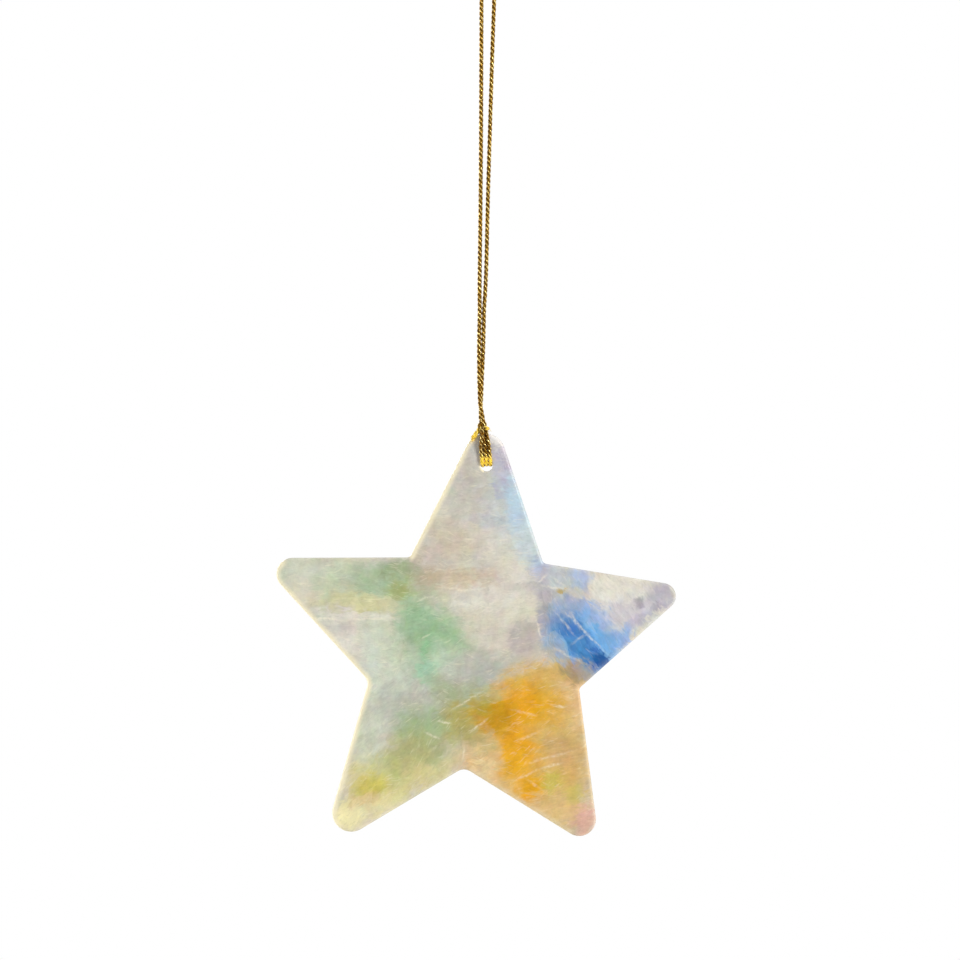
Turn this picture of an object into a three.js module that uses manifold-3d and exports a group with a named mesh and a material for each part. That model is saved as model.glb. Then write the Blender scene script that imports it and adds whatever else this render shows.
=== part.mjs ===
// A hanging star: two layers of capiz shell, pieced and bonded into a flat star, on a gold cord.
// Millimetres. +X is the viewer's right, +Z is up and the coloured face looks along -Y.
// The origin is the inside of the cord loop's top, where a hook carries the ornament.
import * as THREE from "three";
import { mergeVertices } from "three/addons/utils/BufferGeometryUtils.js";
import Module from "manifold-3d";

// Star outline, measured from the star's centre. An arm's reach is where its two straight edges
// would meet, a notch's reach is the corner between two arms, and both are then rounded off.
const ARM_REACH = 61.8;
const NOTCH_REACH = 28.9;
const TIP_ROUND = 4.3;
const NOTCH_ROUND = 1.8;
const STAR_LEAN = 2;

// The star was cut by hand, so each arm, and the notch clockwise of it, differs a little.
const HAND_CUT = [
  { name: "top", turn: 0, reach: 2.4, round: 0.9, notch: { turn: -1.5, reach: -0.4, round: -0.4 } },
  { name: "right", turn: -1.5, reach: -3.9, round: -0.9, notch: { turn: -1.5, reach: -0.7, round: -0.6 } },
  { name: "lower_right", turn: 1, reach: -1.2, round: 0, notch: { turn: 2.5, reach: 1, round: 1 } },
  { name: "lower_left", turn: -1.5, reach: 3.6, round: 0.6, notch: { turn: -0.5, reach: -0.5, round: 1 } },
  { name: "left", turn: 2, reach: -0.7, round: -0.2, notch: { turn: -2, reach: 0.5, round: -0.4 } },
];

// Shell layers, from face to back, and how much of the half thickness the sanded edge rounds over.
const SHELL_THICK = 0.9;
const BOND_THICK = 0.2;
const EDGE_SHARE = 0.8;
const SEAM = 0.3;

// Corners of the front layer's middle piece. Each faces the notch clockwise of an arm, at a share
// of that notch's reach and turned a little from it.
const MIDDLE_CORNERS = [
  { share: 0.9, turn: 3 },
  { share: 0.67, turn: -11.5 },
  { share: 0.555, turn: 9.5 },
  { share: 0.695, turn: 2.5 },
  { share: 0.82, turn: -9.5 },
];

// The back layer's pieces meet at one point, and their seams miss the notches by this much.
const BACK_MEETING = new THREE.Vector2(2.5, -3.5);
const BACK_SEAM_MISS = 5;

// Cord, and the room that it keeps from itself, from the shell and from the knot.
const CORD_DIAMETER = 0.9;
const TURN_GAP = 0.5;
const CORD_GAP = 0.3;

// Hanging hole, from the star's centre, and how far the cord's hitch leans to the left.
const HOLE_TO_CENTRE = 47.8;
const HOLE_ASIDE = 0.3;
const HITCH_LEAN = 6.4;

// The knot's centre below the hook, the cords that twist together above it, and its cut tails.
const KNOT = new THREE.Vector3(0.77, 0, -118.6);
const NECK_TOP = -89.8;
const NECK_TWIST = 150;
const PAIR_PRESS = 0.05;
const LONG_TAIL = 2.9;
const SHORT_TAIL = 1.1;

// The hanging loop: how far the cord's side stays from the middle round the hook, and then on each
// strand at shares of the drop from the hook to the neck.
const HOOK_RADIUS = 1.3;
const STRANDS = [
  { drop: 0.09, left: 1.21, right: 1.21 },
  { drop: 0.212, left: 1.03, right: 1.02 },
  { drop: 0.358, left: 0.83, right: 0.85 },
  { drop: 0.503, left: 0.63, right: 0.71 },
  { drop: 0.648, left: 0.47, right: 0.57 },
  { drop: 0.782, left: 0.35, right: 0.5 },
  { drop: 0.894, left: 0.29, right: 0.45 },
  { drop: 0.961, left: 0.21, right: 0.27 },
  { drop: 1, left: 0.11, right: 0.11 },
];

// Sizes that follow from those above.
const CORD_RADIUS = CORD_DIAMETER / 2;
const PLATE_HALF = SHELL_THICK + BOND_THICK / 2;
const EDGE_ROUND = EDGE_SHARE * PLATE_HALF;
const PITCH = CORD_DIAMETER + TURN_GAP;
const HOLE_RADIUS = PITCH / Math.sqrt(3) + CORD_RADIUS + CORD_GAP;
const KNOT_WRAP = CORD_DIAMETER;
const KNOT_RADIUS = KNOT_WRAP + CORD_RADIUS;
const KNOT_MEET = KNOT_RADIUS + CORD_GAP;
const PAIR_HALF_WIDTH = CORD_RADIUS - PAIR_PRESS;

const toRadians = THREE.MathUtils.degToRad;
const library = await Module();
library.setup();

// A point at a distance and a clockwise angle from straight up, as seen on the star's face.
function atClock(distance, angle) {
  const turn = toRadians(angle);
  return new THREE.Vector2(distance * Math.sin(turn), distance * Math.cos(turn));
}

// A closed geometry, welded into one solid that can be cut and joined.
function toSolid(geometry) {
  const bare = geometry.clone();
  bare.deleteAttribute("normal");
  bare.deleteAttribute("uv");
  const welded = mergeVertices(bare, 1e-4);
  return new library.Manifold(new library.Mesh({
    numProp: 3,
    vertProperties: new Float32Array(welded.attributes.position.array),
    triVerts: new Uint32Array(welded.index.array),
  }));
}

// The skin of a solid.
function toGeometry(solid) {
  const mesh = solid.getMesh();
  const geometry = new THREE.BufferGeometry();
  geometry.setAttribute("position", new THREE.BufferAttribute(new Float32Array(mesh.vertProperties), 3));
  geometry.setIndex(new THREE.BufferAttribute(new Uint32Array(mesh.triVerts), 1));
  return geometry;
}

// A named mesh with a material of its own.
function piece(name, geometry, colour, roughness, metalness) {
  const shaded = geometry.clone();
  shaded.computeVertexNormals();
  const material = new THREE.MeshStandardMaterial({ color: colour, roughness, metalness });
  const mesh = new THREE.Mesh(shaded, material);
  mesh.name = name;
  return mesh;
}

// A closed skin over a row of rings of equal count, with a fan of triangles on each end.
function skinOverRings(rings) {
  const sides = rings[0].length;
  const points = rings.flat();
  const middleOf = (ring) => {
    const sum = ring.reduce((total, point) => total.add(point), new THREE.Vector3());
    return sum.divideScalar(sides);
  };
  const first = points.length;
  const last = first + 1;
  points.push(middleOf(rings[0]), middleOf(rings[rings.length - 1]));
  const index = [];
  const end = (rings.length - 1) * sides;
  for (let side = 0; side < sides; side += 1) {
    const next = (side + 1) % sides;
    for (let row = 0; row < end; row += sides) {
      index.push(row + side, row + next, row + sides + next);
      index.push(row + side, row + sides + next, row + sides + side);
    }
    index.push(first, next, side);
    index.push(last, end + side, end + next);
  }
  const geometry = new THREE.BufferGeometry().setFromPoints(points);
  geometry.setIndex(index);
  return geometry;
}

// A round cord along a free curve: an eight-sided section drawn along it.
function cordAlong(curve, steps) {
  const section = new THREE.Shape();
  for (let side = 0; side < 8; side += 1) {
    const turn = (side * Math.PI) / 4;
    const x = CORD_RADIUS * Math.cos(turn);
    const y = CORD_RADIUS * Math.sin(turn);
    if (side === 0) {
      section.moveTo(x, y);
    } else {
      section.lineTo(x, y);
    }
  }
  section.closePath();
  return new THREE.ExtrudeGeometry(section, { steps, extrudePath: curve, bevelEnabled: false });
}

// A curve through chosen points that keeps as many steps in each span, so tight bends stay round.
class RouteCurve extends THREE.CatmullRomCurve3 {
  getUtoTmapping(u) {
    return u;
  }
}

// Corners of the star, going clockwise: an arm's point, then the notch after it.
function starCorners() {
  const corners = [];
  HAND_CUT.forEach((arm, place) => {
    const angle = place * 72;
    corners.push({ at: atClock(ARM_REACH + arm.reach, angle + arm.turn), round: TIP_ROUND + arm.round });
    corners.push({
      at: atClock(NOTCH_REACH + arm.notch.reach, angle + 36 + arm.notch.turn),
      round: NOTCH_ROUND + arm.notch.round,
    });
  });
  return corners;
}

// The star's outline about its hanging hole, with each corner replaced by an arc.
function starOutline(corners) {
  const points = [];
  corners.forEach((corner, place) => {
    const previous = corners[(place + corners.length - 1) % corners.length];
    const next = corners[(place + 1) % corners.length];
    const before = previous.at.clone().sub(corner.at).normalize();
    const after = next.at.clone().sub(corner.at).normalize();
    const half = Math.acos(before.dot(after)) / 2;
    const centre = before.clone().add(after).setLength(corner.round / Math.sin(half)).add(corner.at);
    const start = before.clone().setLength(corner.round / Math.tan(half)).add(corner.at).sub(centre);
    const end = after.clone().setLength(corner.round / Math.tan(half)).add(corner.at).sub(centre);
    const sweep = Math.atan2(start.cross(end), start.dot(end));
    const steps = place % 2 === 0 ? 9 : 4;
    for (let step = 0; step <= steps; step += 1) {
      points.push(start.clone().rotateAround(new THREE.Vector2(), (sweep * step) / steps).add(centre));
    }
  });
  return points;
}

const STAR_CENTRE = new THREE.Vector2(-HOLE_ASIDE, -HOLE_TO_CENTRE);
const CORNERS = starCorners().map((corner) => ({ at: corner.at.add(STAR_CENTRE), round: corner.round }));
const OUTLINE = starOutline(CORNERS);

// How high the star's edge stands over the hole, where the hitch crosses it.
function edgeOverHole() {
  const turned = OUTLINE.map((point) => {
    return point.clone().rotateAround(new THREE.Vector2(), -toRadians(STAR_LEAN + HITCH_LEAN));
  });
  const under = turned.filter((point) => Math.abs(point.x) < PITCH * 2 && point.y > 0);
  return Math.max(...under.map((point) => point.y));
}

const CREST = edgeOverHole() + CORD_GAP + CORD_RADIUS;
const KNOT_HEIGHT = CREST + CORD_RADIUS + CORD_GAP + KNOT_RADIUS;

// The whole star plate about its hole: rounded over at both faces and drilled.
function starPlate() {
  const shape = new THREE.Shape(OUTLINE);
  const plate = new THREE.ExtrudeGeometry(shape, {
    depth: 2 * (PLATE_HALF - EDGE_ROUND),
    bevelThickness: EDGE_ROUND,
    bevelSize: EDGE_ROUND,
    bevelOffset: -EDGE_ROUND,
    bevelSegments: 4,
  });
  plate.rotateX(Math.PI / 2);
  plate.translate(0, PLATE_HALF - EDGE_ROUND, 0);
  const drill = new THREE.CylinderGeometry(HOLE_RADIUS, HOLE_RADIUS, 4 * PLATE_HALF, 32);
  return toSolid(plate).subtract(toSolid(drill));
}

// Keeps what lies to the right of a seam drawn from one point to another, half a seam off it.
function rightOfSeam(solid, from, to) {
  const along = to.clone().sub(from).normalize();
  const normal = new THREE.Vector2(along.y, -along.x);
  return solid.trimByPlane([normal.x, 0, normal.y], normal.dot(from) + SEAM / 2);
}

// The front layer: a middle piece, and one piece for each arm from the middle out to its tip.
function frontLayer(plate, star, colours) {
  const layer = plate.trimByPlane([0, -1, 0], BOND_THICK / 2);
  const middle = MIDDLE_CORNERS.map((corner, place) => {
    const notch = CORNERS[place * 2 + 1].at.clone().sub(STAR_CENTRE);
    const inner = notch.multiplyScalar(corner.share);
    return inner.rotateAround(new THREE.Vector2(), -toRadians(corner.turn)).add(STAR_CENTRE);
  });
  let centre = layer;
  HAND_CUT.forEach((arm, place) => {
    const previous = (place + 4) % 5;
    const leftNotch = CORNERS[previous * 2 + 1].at;
    const rightNotch = CORNERS[place * 2 + 1].at;
    let shell = rightOfSeam(layer, middle[previous], leftNotch);
    shell = rightOfSeam(shell, rightNotch, middle[place]);
    shell = rightOfSeam(shell, middle[place], middle[previous]);
    star.add(piece(`front_shell_${arm.name}`, toGeometry(shell), colours[arm.name], 0.28, 0));
    centre = rightOfSeam(centre, middle[previous], middle[place]);
  });
  star.add(piece("front_shell_middle", toGeometry(centre), colours.middle, 0.28, 0));
}

// The back layer: one piece for each arm, with seams that start on the arms' edges.
function backLayer(plate, star, colours) {
  const layer = plate.trimByPlane([0, 1, 0], BOND_THICK / 2);
  const meeting = BACK_MEETING.clone().add(STAR_CENTRE);
  const ends = HAND_CUT.map((arm, place) => {
    const notch = CORNERS[place * 2 + 1].at;
    const tip = CORNERS[(place * 2 + 2) % 10].at;
    return tip.clone().sub(notch).setLength(BACK_SEAM_MISS).add(notch);
  });
  HAND_CUT.forEach((arm, place) => {
    let shell = rightOfSeam(layer, meeting, ends[(place + 4) % 5]);
    shell = rightOfSeam(shell, ends[place], meeting);
    star.add(piece(`back_shell_${arm.name}`, toGeometry(shell), colours[arm.name], 0.34, 0));
  });
}

// The star about its hole: both shell layers and the clear film that bonds them.
function shellStar(colours) {
  const star = new THREE.Group();
  const plate = starPlate();
  frontLayer(plate, star, colours);
  backLayer(plate, star, colours);
  const film = plate.trimByPlane([0, -1, 0], -BOND_THICK / 2).trimByPlane([0, 1, 0], -BOND_THICK / 2);
  star.add(piece("bond_film", toGeometry(film), 0xe6dfc4, 0.4, 0));
  return star;
}

// Half of the hitch, about the hole: from the knot down the face, through the hole, up the back,
// over the edge, down the face again and into the middle of the hole. The rest is the same half
// turned about the upright. Points are (aside, depth, height).
function halfHitch() {
  const inner = PLATE_HALF + CORD_GAP + CORD_RADIUS;
  const layer = (PITCH * Math.sqrt(3)) / 2;
  const outer = inner + layer;
  const ease = CORD_DIAMETER / 10;
  const holeAside = PITCH / 2;
  const holeHigh = PITCH / Math.sqrt(12);
  const holeLow = -PITCH / Math.sqrt(3);
  const intoKnot = new THREE.Vector3(-0.1, -0.84, -0.53).normalize();
  const knot = new THREE.Vector3(0, 0, KNOT_HEIGHT);
  return [
    knot.clone().addScaledVector(intoKnot, KNOT_MEET),
    knot.clone().addScaledVector(intoKnot, KNOT_MEET + CORD_DIAMETER),
    new THREE.Vector3(-0.4 * PITCH, -outer - 3 * ease, 0.83 * CREST),
    new THREE.Vector3(-0.75 * PITCH, -outer, 0.63 * CREST),
    new THREE.Vector3(-PITCH, -inner - 4 * ease, 0.48 * CREST),
    new THREE.Vector3(-PITCH, -inner, 0.33 * CREST),
    new THREE.Vector3(-0.72 * PITCH, -inner - ease, 0.17 * CREST),
    new THREE.Vector3(-0.54 * PITCH, -inner + ease, holeHigh + 3 * ease),
    new THREE.Vector3(-holeAside, -PLATE_HALF, holeHigh),
    new THREE.Vector3(-holeAside, PLATE_HALF, holeHigh),
    new THREE.Vector3(-0.54 * PITCH, inner - ease, holeHigh + 3 * ease),
    new THREE.Vector3(-0.72 * PITCH, inner + ease, 0.17 * CREST),
    new THREE.Vector3(-PITCH, inner, 0.33 * CREST),
    new THREE.Vector3(-PITCH, inner, 0.56 * CREST),
    new THREE.Vector3(-0.8 * PITCH, inner, 0.78 * CREST),
    new THREE.Vector3(-0.64 * PITCH, 0.66 * inner, 0.94 * CREST),
    new THREE.Vector3(-0.52 * PITCH, 0, CREST),
    new THREE.Vector3(-0.4 * PITCH, -0.66 * inner, 0.94 * CREST),
    new THREE.Vector3(-0.25 * PITCH, -inner, 0.78 * CREST),
    new THREE.Vector3(0, -inner, 0.5 * CREST),
    new THREE.Vector3(0, -inner - 0.5 * layer, 0.33 * CREST),
    new THREE.Vector3(0, -outer, 0.16 * CREST),
    new THREE.Vector3(0, -inner - 0.66 * layer, holeLow + 6 * ease),
    new THREE.Vector3(0, -PLATE_HALF, holeLow),
    new THREE.Vector3(0, 0, holeLow),
  ];
}

// The least room between stretches of one cord, measured on points along its middle.
function leastSelfGap(points, apart) {
  let least = Infinity;
  for (let one = 0; one < points.length; one += 1) {
    for (let other = one + apart; other < points.length; other += 1) {
      least = Math.min(least, points[one].distanceTo(points[other]));
    }
  }
  return least - CORD_DIAMETER;
}

// The hitch: one unbroken cord that passes the hole three times and the star's edge twice.
function hitchWinding() {
  const half = halfHitch();
  const rest = half.slice(0, -1).reverse().map((point) => new THREE.Vector3(-point.x, -point.y, point.z));
  const curve = new THREE.CatmullRomCurve3([...half, ...rest], false, "centripetal");
  const steps = 120;
  const sides = 6;
  const frames = curve.computeFrenetFrames(steps, false);
  const rings = curve.getSpacedPoints(steps).map((middle, step) => {
    return Array.from({ length: sides }, (unused, side) => {
      const turn = (2 * Math.PI * side) / sides;
      return middle.clone()
        .addScaledVector(frames.normals[step], CORD_RADIUS * Math.cos(turn))
        .addScaledVector(frames.binormals[step], CORD_RADIUS * Math.sin(turn));
    });
  });
  const spacing = curve.getLength() / 600;
  const apart = Math.ceil((5 * CORD_DIAMETER) / spacing);
  const gap = leastSelfGap(curve.getSpacedPoints(600), apart);
  const length = curve.getLength();
  console.log(`hitch winding: ${length.toFixed(1)} mm long, least gap to itself ${gap.toFixed(2)} mm`);
  return skinOverRings(rings);
}

// The loop's middle line: up the left strand, round the hook and down the right strand.
function loopRoute() {
  const foot = NECK_TOP + CORD_GAP;
  const left = STRANDS.map((at) => new THREE.Vector3(-at.left - CORD_RADIUS, 0, foot * at.drop));
  const right = STRANDS.map((at) => new THREE.Vector3(at.right + CORD_RADIUS, 0, foot * at.drop));
  const round = [];
  for (let turn = 180; turn >= 0; turn -= 30) {
    const reach = HOOK_RADIUS + CORD_RADIUS;
    const aside = reach * Math.cos(toRadians(turn));
    round.push(new THREE.Vector3(aside, 0, reach * Math.sin(toRadians(turn)) - HOOK_RADIUS));
  }
  return [...left.reverse(), ...round, ...right];
}

// The two strands pressed side by side, turning round each other on their way down to the knot.
function twistedNeck() {
  const foot = new THREE.Vector3(-0.2, 0, 0.98).setLength(KNOT_MEET).add(KNOT);
  const middle = new THREE.CatmullRomCurve3([
    new THREE.Vector3(0, 0, NECK_TOP),
    new THREE.Vector3(0, 0, NECK_TOP + (foot.z - NECK_TOP) * 0.67),
    new THREE.Vector3(foot.x * 0.27, 0, NECK_TOP + (foot.z - NECK_TOP) * 0.89),
    foot,
  ]);
  const upright = new THREE.Vector3(0, 0, 1);
  const steps = 28;
  const sides = 20;
  const rings = [];
  for (let step = 0; step <= steps; step += 1) {
    const along = 1 - (1 - step / steps) ** 1.4;
    const centre = middle.getPoint(along);
    const drop = (centre.z - NECK_TOP) / (foot.z - NECK_TOP);
    const twist = toRadians(NECK_TWIST) * drop ** 3;
    const ring = [];
    for (let side = 0; side < sides; side += 1) {
      const angle = (-2 * Math.PI * side) / sides;
      const waist = Math.sqrt(CORD_RADIUS ** 2 - (PAIR_HALF_WIDTH * Math.sin(angle)) ** 2);
      const reach = PAIR_HALF_WIDTH * Math.abs(Math.cos(angle)) + waist;
      const across = new THREE.Vector3(reach, 0, 0).applyAxisAngle(upright, angle + twist);
      ring.push(across.add(centre));
    }
    rings.push(ring);
  }
  return skinOverRings(rings);
}

// The knot, about its own centre: three wraps of cord round a tight core.
function knotBall() {
  let knot = toSolid(new THREE.IcosahedronGeometry(KNOT_WRAP + 0.1, 2));
  for (const [tilt, roll] of [[20, 0], [80, 50], [75, -55]]) {
    const wrap = new THREE.TorusGeometry(KNOT_WRAP, CORD_RADIUS, 8, 24);
    wrap.rotateX(toRadians(tilt));
    wrap.rotateY(toRadians(roll));
    knot = knot.add(toSolid(wrap));
  }
  return toGeometry(knot);
}

// A cut end of the cord, standing out of the knot along one way and drooping to another.
function cutTail(wayOut, wayDown, length) {
  const out = wayOut.clone().normalize();
  const start = out.clone().multiplyScalar(KNOT_MEET);
  const bend = start.clone().addScaledVector(out, length / 2);
  const end = bend.clone().addScaledVector(wayDown.clone().normalize(), length / 2);
  return cordAlong(new THREE.CatmullRomCurve3([start, bend, end]), 6);
}

const SHELL_COLOURS = {
  top: 0xcfcbd2,
  right: 0x9fb6dc,
  lower_right: 0xe2b766,
  lower_left: 0xc6c9a0,
  left: 0xccd4c0,
  middle: 0xd6d0cc,
};
const GOLD = 0xb98a2e;

const lean = toRadians(HITCH_LEAN);
const hole = new THREE.Vector3(Math.sin(lean), 0, -Math.cos(lean)).multiplyScalar(KNOT_HEIGHT).add(KNOT);

const ornament = new THREE.Group();

ornament.add(piece("cord_loop", cordAlong(new RouteCurve(loopRoute()), 72), GOLD, 0.35, 0.6));
ornament.add(piece("cord_neck", twistedNeck(), GOLD, 0.35, 0.6));

const knotGroup = new THREE.Group();
knotGroup.position.copy(KNOT);
knotGroup.add(piece("knot", knotBall(), GOLD, 0.35, 0.6));
const longOut = new THREE.Vector3(-0.66, -0.45, -0.6);
const longDown = new THREE.Vector3(-0.6, -0.1, -0.8);
knotGroup.add(piece("long_tail", cutTail(longOut, longDown, LONG_TAIL), GOLD, 0.35, 0.6));
const shortOut = new THREE.Vector3(0.86, -0.15, -0.48);
knotGroup.add(piece("short_tail", cutTail(shortOut, shortOut, SHORT_TAIL), GOLD, 0.35, 0.6));
ornament.add(knotGroup);

const hitchGroup = new THREE.Group();
hitchGroup.position.copy(hole);
hitchGroup.rotation.y = -lean;
hitchGroup.add(piece("hitch_winding", hitchWinding(), GOLD, 0.35, 0.6));
ornament.add(hitchGroup);

const star = shellStar(SHELL_COLOURS);
star.position.copy(hole);
star.rotation.y = toRadians(STAR_LEAN);
ornament.add(star);

export default ornament;
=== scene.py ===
import math

import bpy
import numpy as np
from mathutils import Matrix


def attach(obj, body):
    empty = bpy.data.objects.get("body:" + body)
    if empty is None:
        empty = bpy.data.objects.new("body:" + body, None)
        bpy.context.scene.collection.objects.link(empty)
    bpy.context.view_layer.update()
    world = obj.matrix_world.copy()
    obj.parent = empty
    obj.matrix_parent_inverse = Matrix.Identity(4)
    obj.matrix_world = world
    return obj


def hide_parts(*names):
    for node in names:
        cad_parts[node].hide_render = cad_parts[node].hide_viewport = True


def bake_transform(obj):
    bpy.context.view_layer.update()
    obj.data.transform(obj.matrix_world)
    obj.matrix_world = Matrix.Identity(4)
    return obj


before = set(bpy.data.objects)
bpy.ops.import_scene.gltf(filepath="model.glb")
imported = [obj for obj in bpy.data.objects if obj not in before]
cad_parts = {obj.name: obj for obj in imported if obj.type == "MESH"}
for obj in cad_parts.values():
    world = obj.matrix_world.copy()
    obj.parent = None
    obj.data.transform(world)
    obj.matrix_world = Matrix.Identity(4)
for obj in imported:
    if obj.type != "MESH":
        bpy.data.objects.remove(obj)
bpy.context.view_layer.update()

# Lengths are millimetres and angles are degrees. Meshes are made in metres.
MM = 0.001

# The view: how wide the picture is at the star, where its middle is, and how far the camera rolls.
VIEW_WIDE = 246.15
VIEW_MIDDLE = (0.355, -133.35)
VIEW_ROLL = 1.1
CAMERA_AWAY = 1000.0
SENSOR = 36.0

# The cord: its radius where it is drawn tight and where it hangs slack, its plies, the length of one
# turn of them, and how near the middle the grooves between them come, as a share of the radius.
CORD_RADIUS = 0.53
SLACK_RADIUS = 0.57
CORD_PLIES = 3
CORD_LAY = 4.0
GROOVE_FLOOR = 0.55
# The cord's mesh: its step along, its sides, how long and how blunt its open ends are rounded, and
# the parts that each stretch of a smooth route is drawn in.
CORD_STEP = 0.16
CORD_SIDES = 30
END_ROUND = 0.7
END_BLUNT = 0.04
CURVE_SPLITS = 40
# One centimetre, the unit of the cord's map.
CM = 10.0

# Where the cord runs: the knot's middle, the loop's foot, the bend it hangs by, and the radius that
# the solids give it.
KNOT = np.array((0.76, 0.0, -119.5))
LOOP_FOOT = -89.5
HOOK_RADIUS = 1.3
SOLID_CORD_RADIUS = 0.45

# The star's plate: half its thickness and half the film's, the rounds of its edge and its hole, how
# far the star and the hitch lean from the upright, and its centre as seen from the hole.
PLATE_HALF = 1.0
BOND_HALF = 0.1
EDGE_ROUND = 0.8
HOLE = np.array((2.0, 0.0, -129.564))
HOLE_RADIUS = 1.558
HOLE_ROUND = 0.18
STAR_LEAN = 2.0
HITCH_LEAN = 6.4
EDGE_OVER_HOLE = 8.183
STAR_CENTRE = np.array((-0.3, -47.8))
HOLE_AT = -STAR_CENTRE


def unit(rows):
    """Each row divided by its own length."""
    return rows / np.linalg.norm(rows, axis=-1, keepdims=True)


def run_along(points):
    """Distance along a broken line, at each of its points."""
    steps = np.linalg.norm(np.diff(points, axis=0), axis=1)
    return np.concatenate(([0.0], np.cumsum(steps)))


def evenly(points, step):
    """Points spaced evenly by distance along a broken line, with both ends kept."""
    run = run_along(points)
    count = max(2, int(round(run[-1] / step)) + 1)
    at = np.linspace(0.0, run[-1], count)
    return np.stack([np.interp(at, run, column) for column in points.T], axis=1)


def smooth_route(points, step):
    """An even row of points on a smooth curve through some.

    The curve is a Catmull-Rom one whose knots are spaced by the square root of the chord, so it
    neither loops nor overshoots where the points crowd together.
    """
    points = np.asarray(points, float)
    padded = np.vstack((2 * points[0] - points[1], points, 2 * points[-1] - points[-2]))
    p0, p1, p2, p3 = (padded[k : len(padded) - 3 + k, None, :] for k in range(4))
    t1 = np.sqrt(np.linalg.norm(p1 - p0, axis=-1, keepdims=True))
    t2 = t1 + np.sqrt(np.linalg.norm(p2 - p1, axis=-1, keepdims=True))
    t3 = t2 + np.sqrt(np.linalg.norm(p3 - p2, axis=-1, keepdims=True))
    t = t1 + (t2 - t1) * np.linspace(0.0, 1.0, CURVE_SPLITS, endpoint=False)[None, :, None]
    a1 = ((t1 - t) * p0 + t * p1) / t1
    a2 = ((t2 - t) * p1 + (t - t1) * p2) / (t2 - t1)
    a3 = ((t3 - t) * p2 + (t - t2) * p3) / (t3 - t2)
    b1 = ((t2 - t) * a1 + t * a2) / t2
    b2 = ((t3 - t) * a2 + (t - t1) * a3) / (t3 - t1)
    curve = ((t2 - t) * b1 + (t - t1) * b2) / (t2 - t1)
    return evenly(np.vstack((curve.reshape(-1, 3), points[-1:])), step)


def leaned(points, lean, about):
    """Points (aside, depth, height) turned to lean to the right by an angle, then moved to a place."""
    turn = math.radians(lean)
    aside = points[:, 0] * math.cos(turn) + points[:, 2] * math.sin(turn)
    height = points[:, 2] * math.cos(turn) - points[:, 0] * math.sin(turn)
    return np.stack((aside, points[:, 1], height), 1) + about


def on_plate(places, heights):
    """Points for places on the face, seen from the star's centre, and heights from the plate's middle."""
    aside, upward = np.moveaxis(places + STAR_CENTRE, -1, 0)
    local = np.stack((aside, heights, upward), -1)
    return leaned(local.reshape(-1, 3), STAR_LEAN, HOLE).reshape(local.shape)


def skin(rows, poles=None):
    """Points and faces over a grid of rows whose columns close round.

    With poles, a fan of triangles closes the first row on one point and the last row on another.
    Without them the last row joins the first, as on a ring.
    """
    count, around = rows.shape[:2]
    index = np.arange(count * around).reshape(count, around)
    lower = index if poles is None else index[:-1]
    upper = np.roll(index, -1, 0) if poles is None else index[1:]
    quads = np.stack((lower, np.roll(lower, -1, 1), np.roll(upper, -1, 1), upper), -1).reshape(-1, 4)
    points = rows.reshape(-1, 3)
    fans = np.zeros((0, 3), int)
    if poles is not None:
        first, last = len(points), len(points) + 1
        points = np.vstack((points, np.asarray(poles, float).reshape(2, 3)))
        low, high = index[0], index[-1]
        fans = np.vstack((
            np.stack((np.full(around, first), np.roll(low, -1), low), 1),
            np.stack((np.full(around, last), high, np.roll(high, -1)), 1),
        ))
    return {"points": points, "quads": quads, "fans": fans}


def enclosed(points, triangles):
    """Signed volume inside a closed skin, which is positive when its faces look outward."""
    a, b, c = (points[triangles[:, k]] for k in range(3))
    return np.einsum("ij,ij->i", a, np.cross(b, c)).sum() / 6


def make_piece(name, skins, material):
    """One mesh object from several skins, with their point values as attributes and UV as a map.

    A face that lies across the map's join has its low corners moved on by one whole turn.
    """
    offsets = np.cumsum([0] + [len(s["points"]) for s in skins])
    faces = []
    uv = []
    for part, offset in zip(skins, offsets):
        quads, fans = part["quads"], part["fans"]
        halves = np.vstack((quads[:, :3], quads[:, [0, 2, 3]], fans))
        if enclosed(part["points"], halves) < 0:
            quads, fans = quads[:, ::-1], fans[:, ::-1]
        faces += (quads + offset).tolist() + (fans + offset).tolist()
        if "uv" in part:
            for corners in (quads, fans):
                place = part["uv"][corners]
                torn = np.ptp(place[..., 1], axis=1, keepdims=True) > 0.5
                place[..., 1] += np.where(torn & (place[..., 1] < 0.5), 1.0, 0.0)
                uv.append(place.reshape(-1, 2))
    mesh = bpy.data.meshes.new(name)
    points = np.vstack([s["points"] for s in skins])
    mesh.from_pydata((points * MM).tolist(), [], faces)
    for key in skins[0].get("values", {}):
        layer = mesh.attributes.new(key, "FLOAT", "POINT")
        values = np.concatenate([s["values"][key] for s in skins])
        layer.data.foreach_set("value", values.astype(np.float32))
    if uv:
        layer = mesh.uv_layers.new(name="UVMap")
        layer.data.foreach_set("uv", np.vstack(uv).astype(np.float32).ravel())
    mesh.shade_smooth()
    mesh.materials.append(material)
    piece = bpy.data.objects.new(name, mesh)
    bpy.context.scene.collection.objects.link(piece)
    return piece


def sharpen(piece, marked):
    """Marks as sharp the edges whose two points are both marked."""
    mesh = piece.data
    ends = np.zeros(len(mesh.edges) * 2, np.int32)
    mesh.edges.foreach_get("vertices", ends)
    ends = ends.reshape(-1, 2)
    layer = mesh.attributes.new("sharp_edge", "BOOLEAN", "EDGE")
    layer.data.foreach_set("value", marked[ends[:, 0]] & marked[ends[:, 1]])


def feed(tree, node, feeds):
    """Gives a node's inputs, called by name or number, a value each or a socket to link to."""
    for key, value in feeds.items():
        if isinstance(value, bpy.types.NodeSocket):
            tree.links.new(value, node.inputs[key])
        else:
            node.inputs[key].default_value = value


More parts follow.
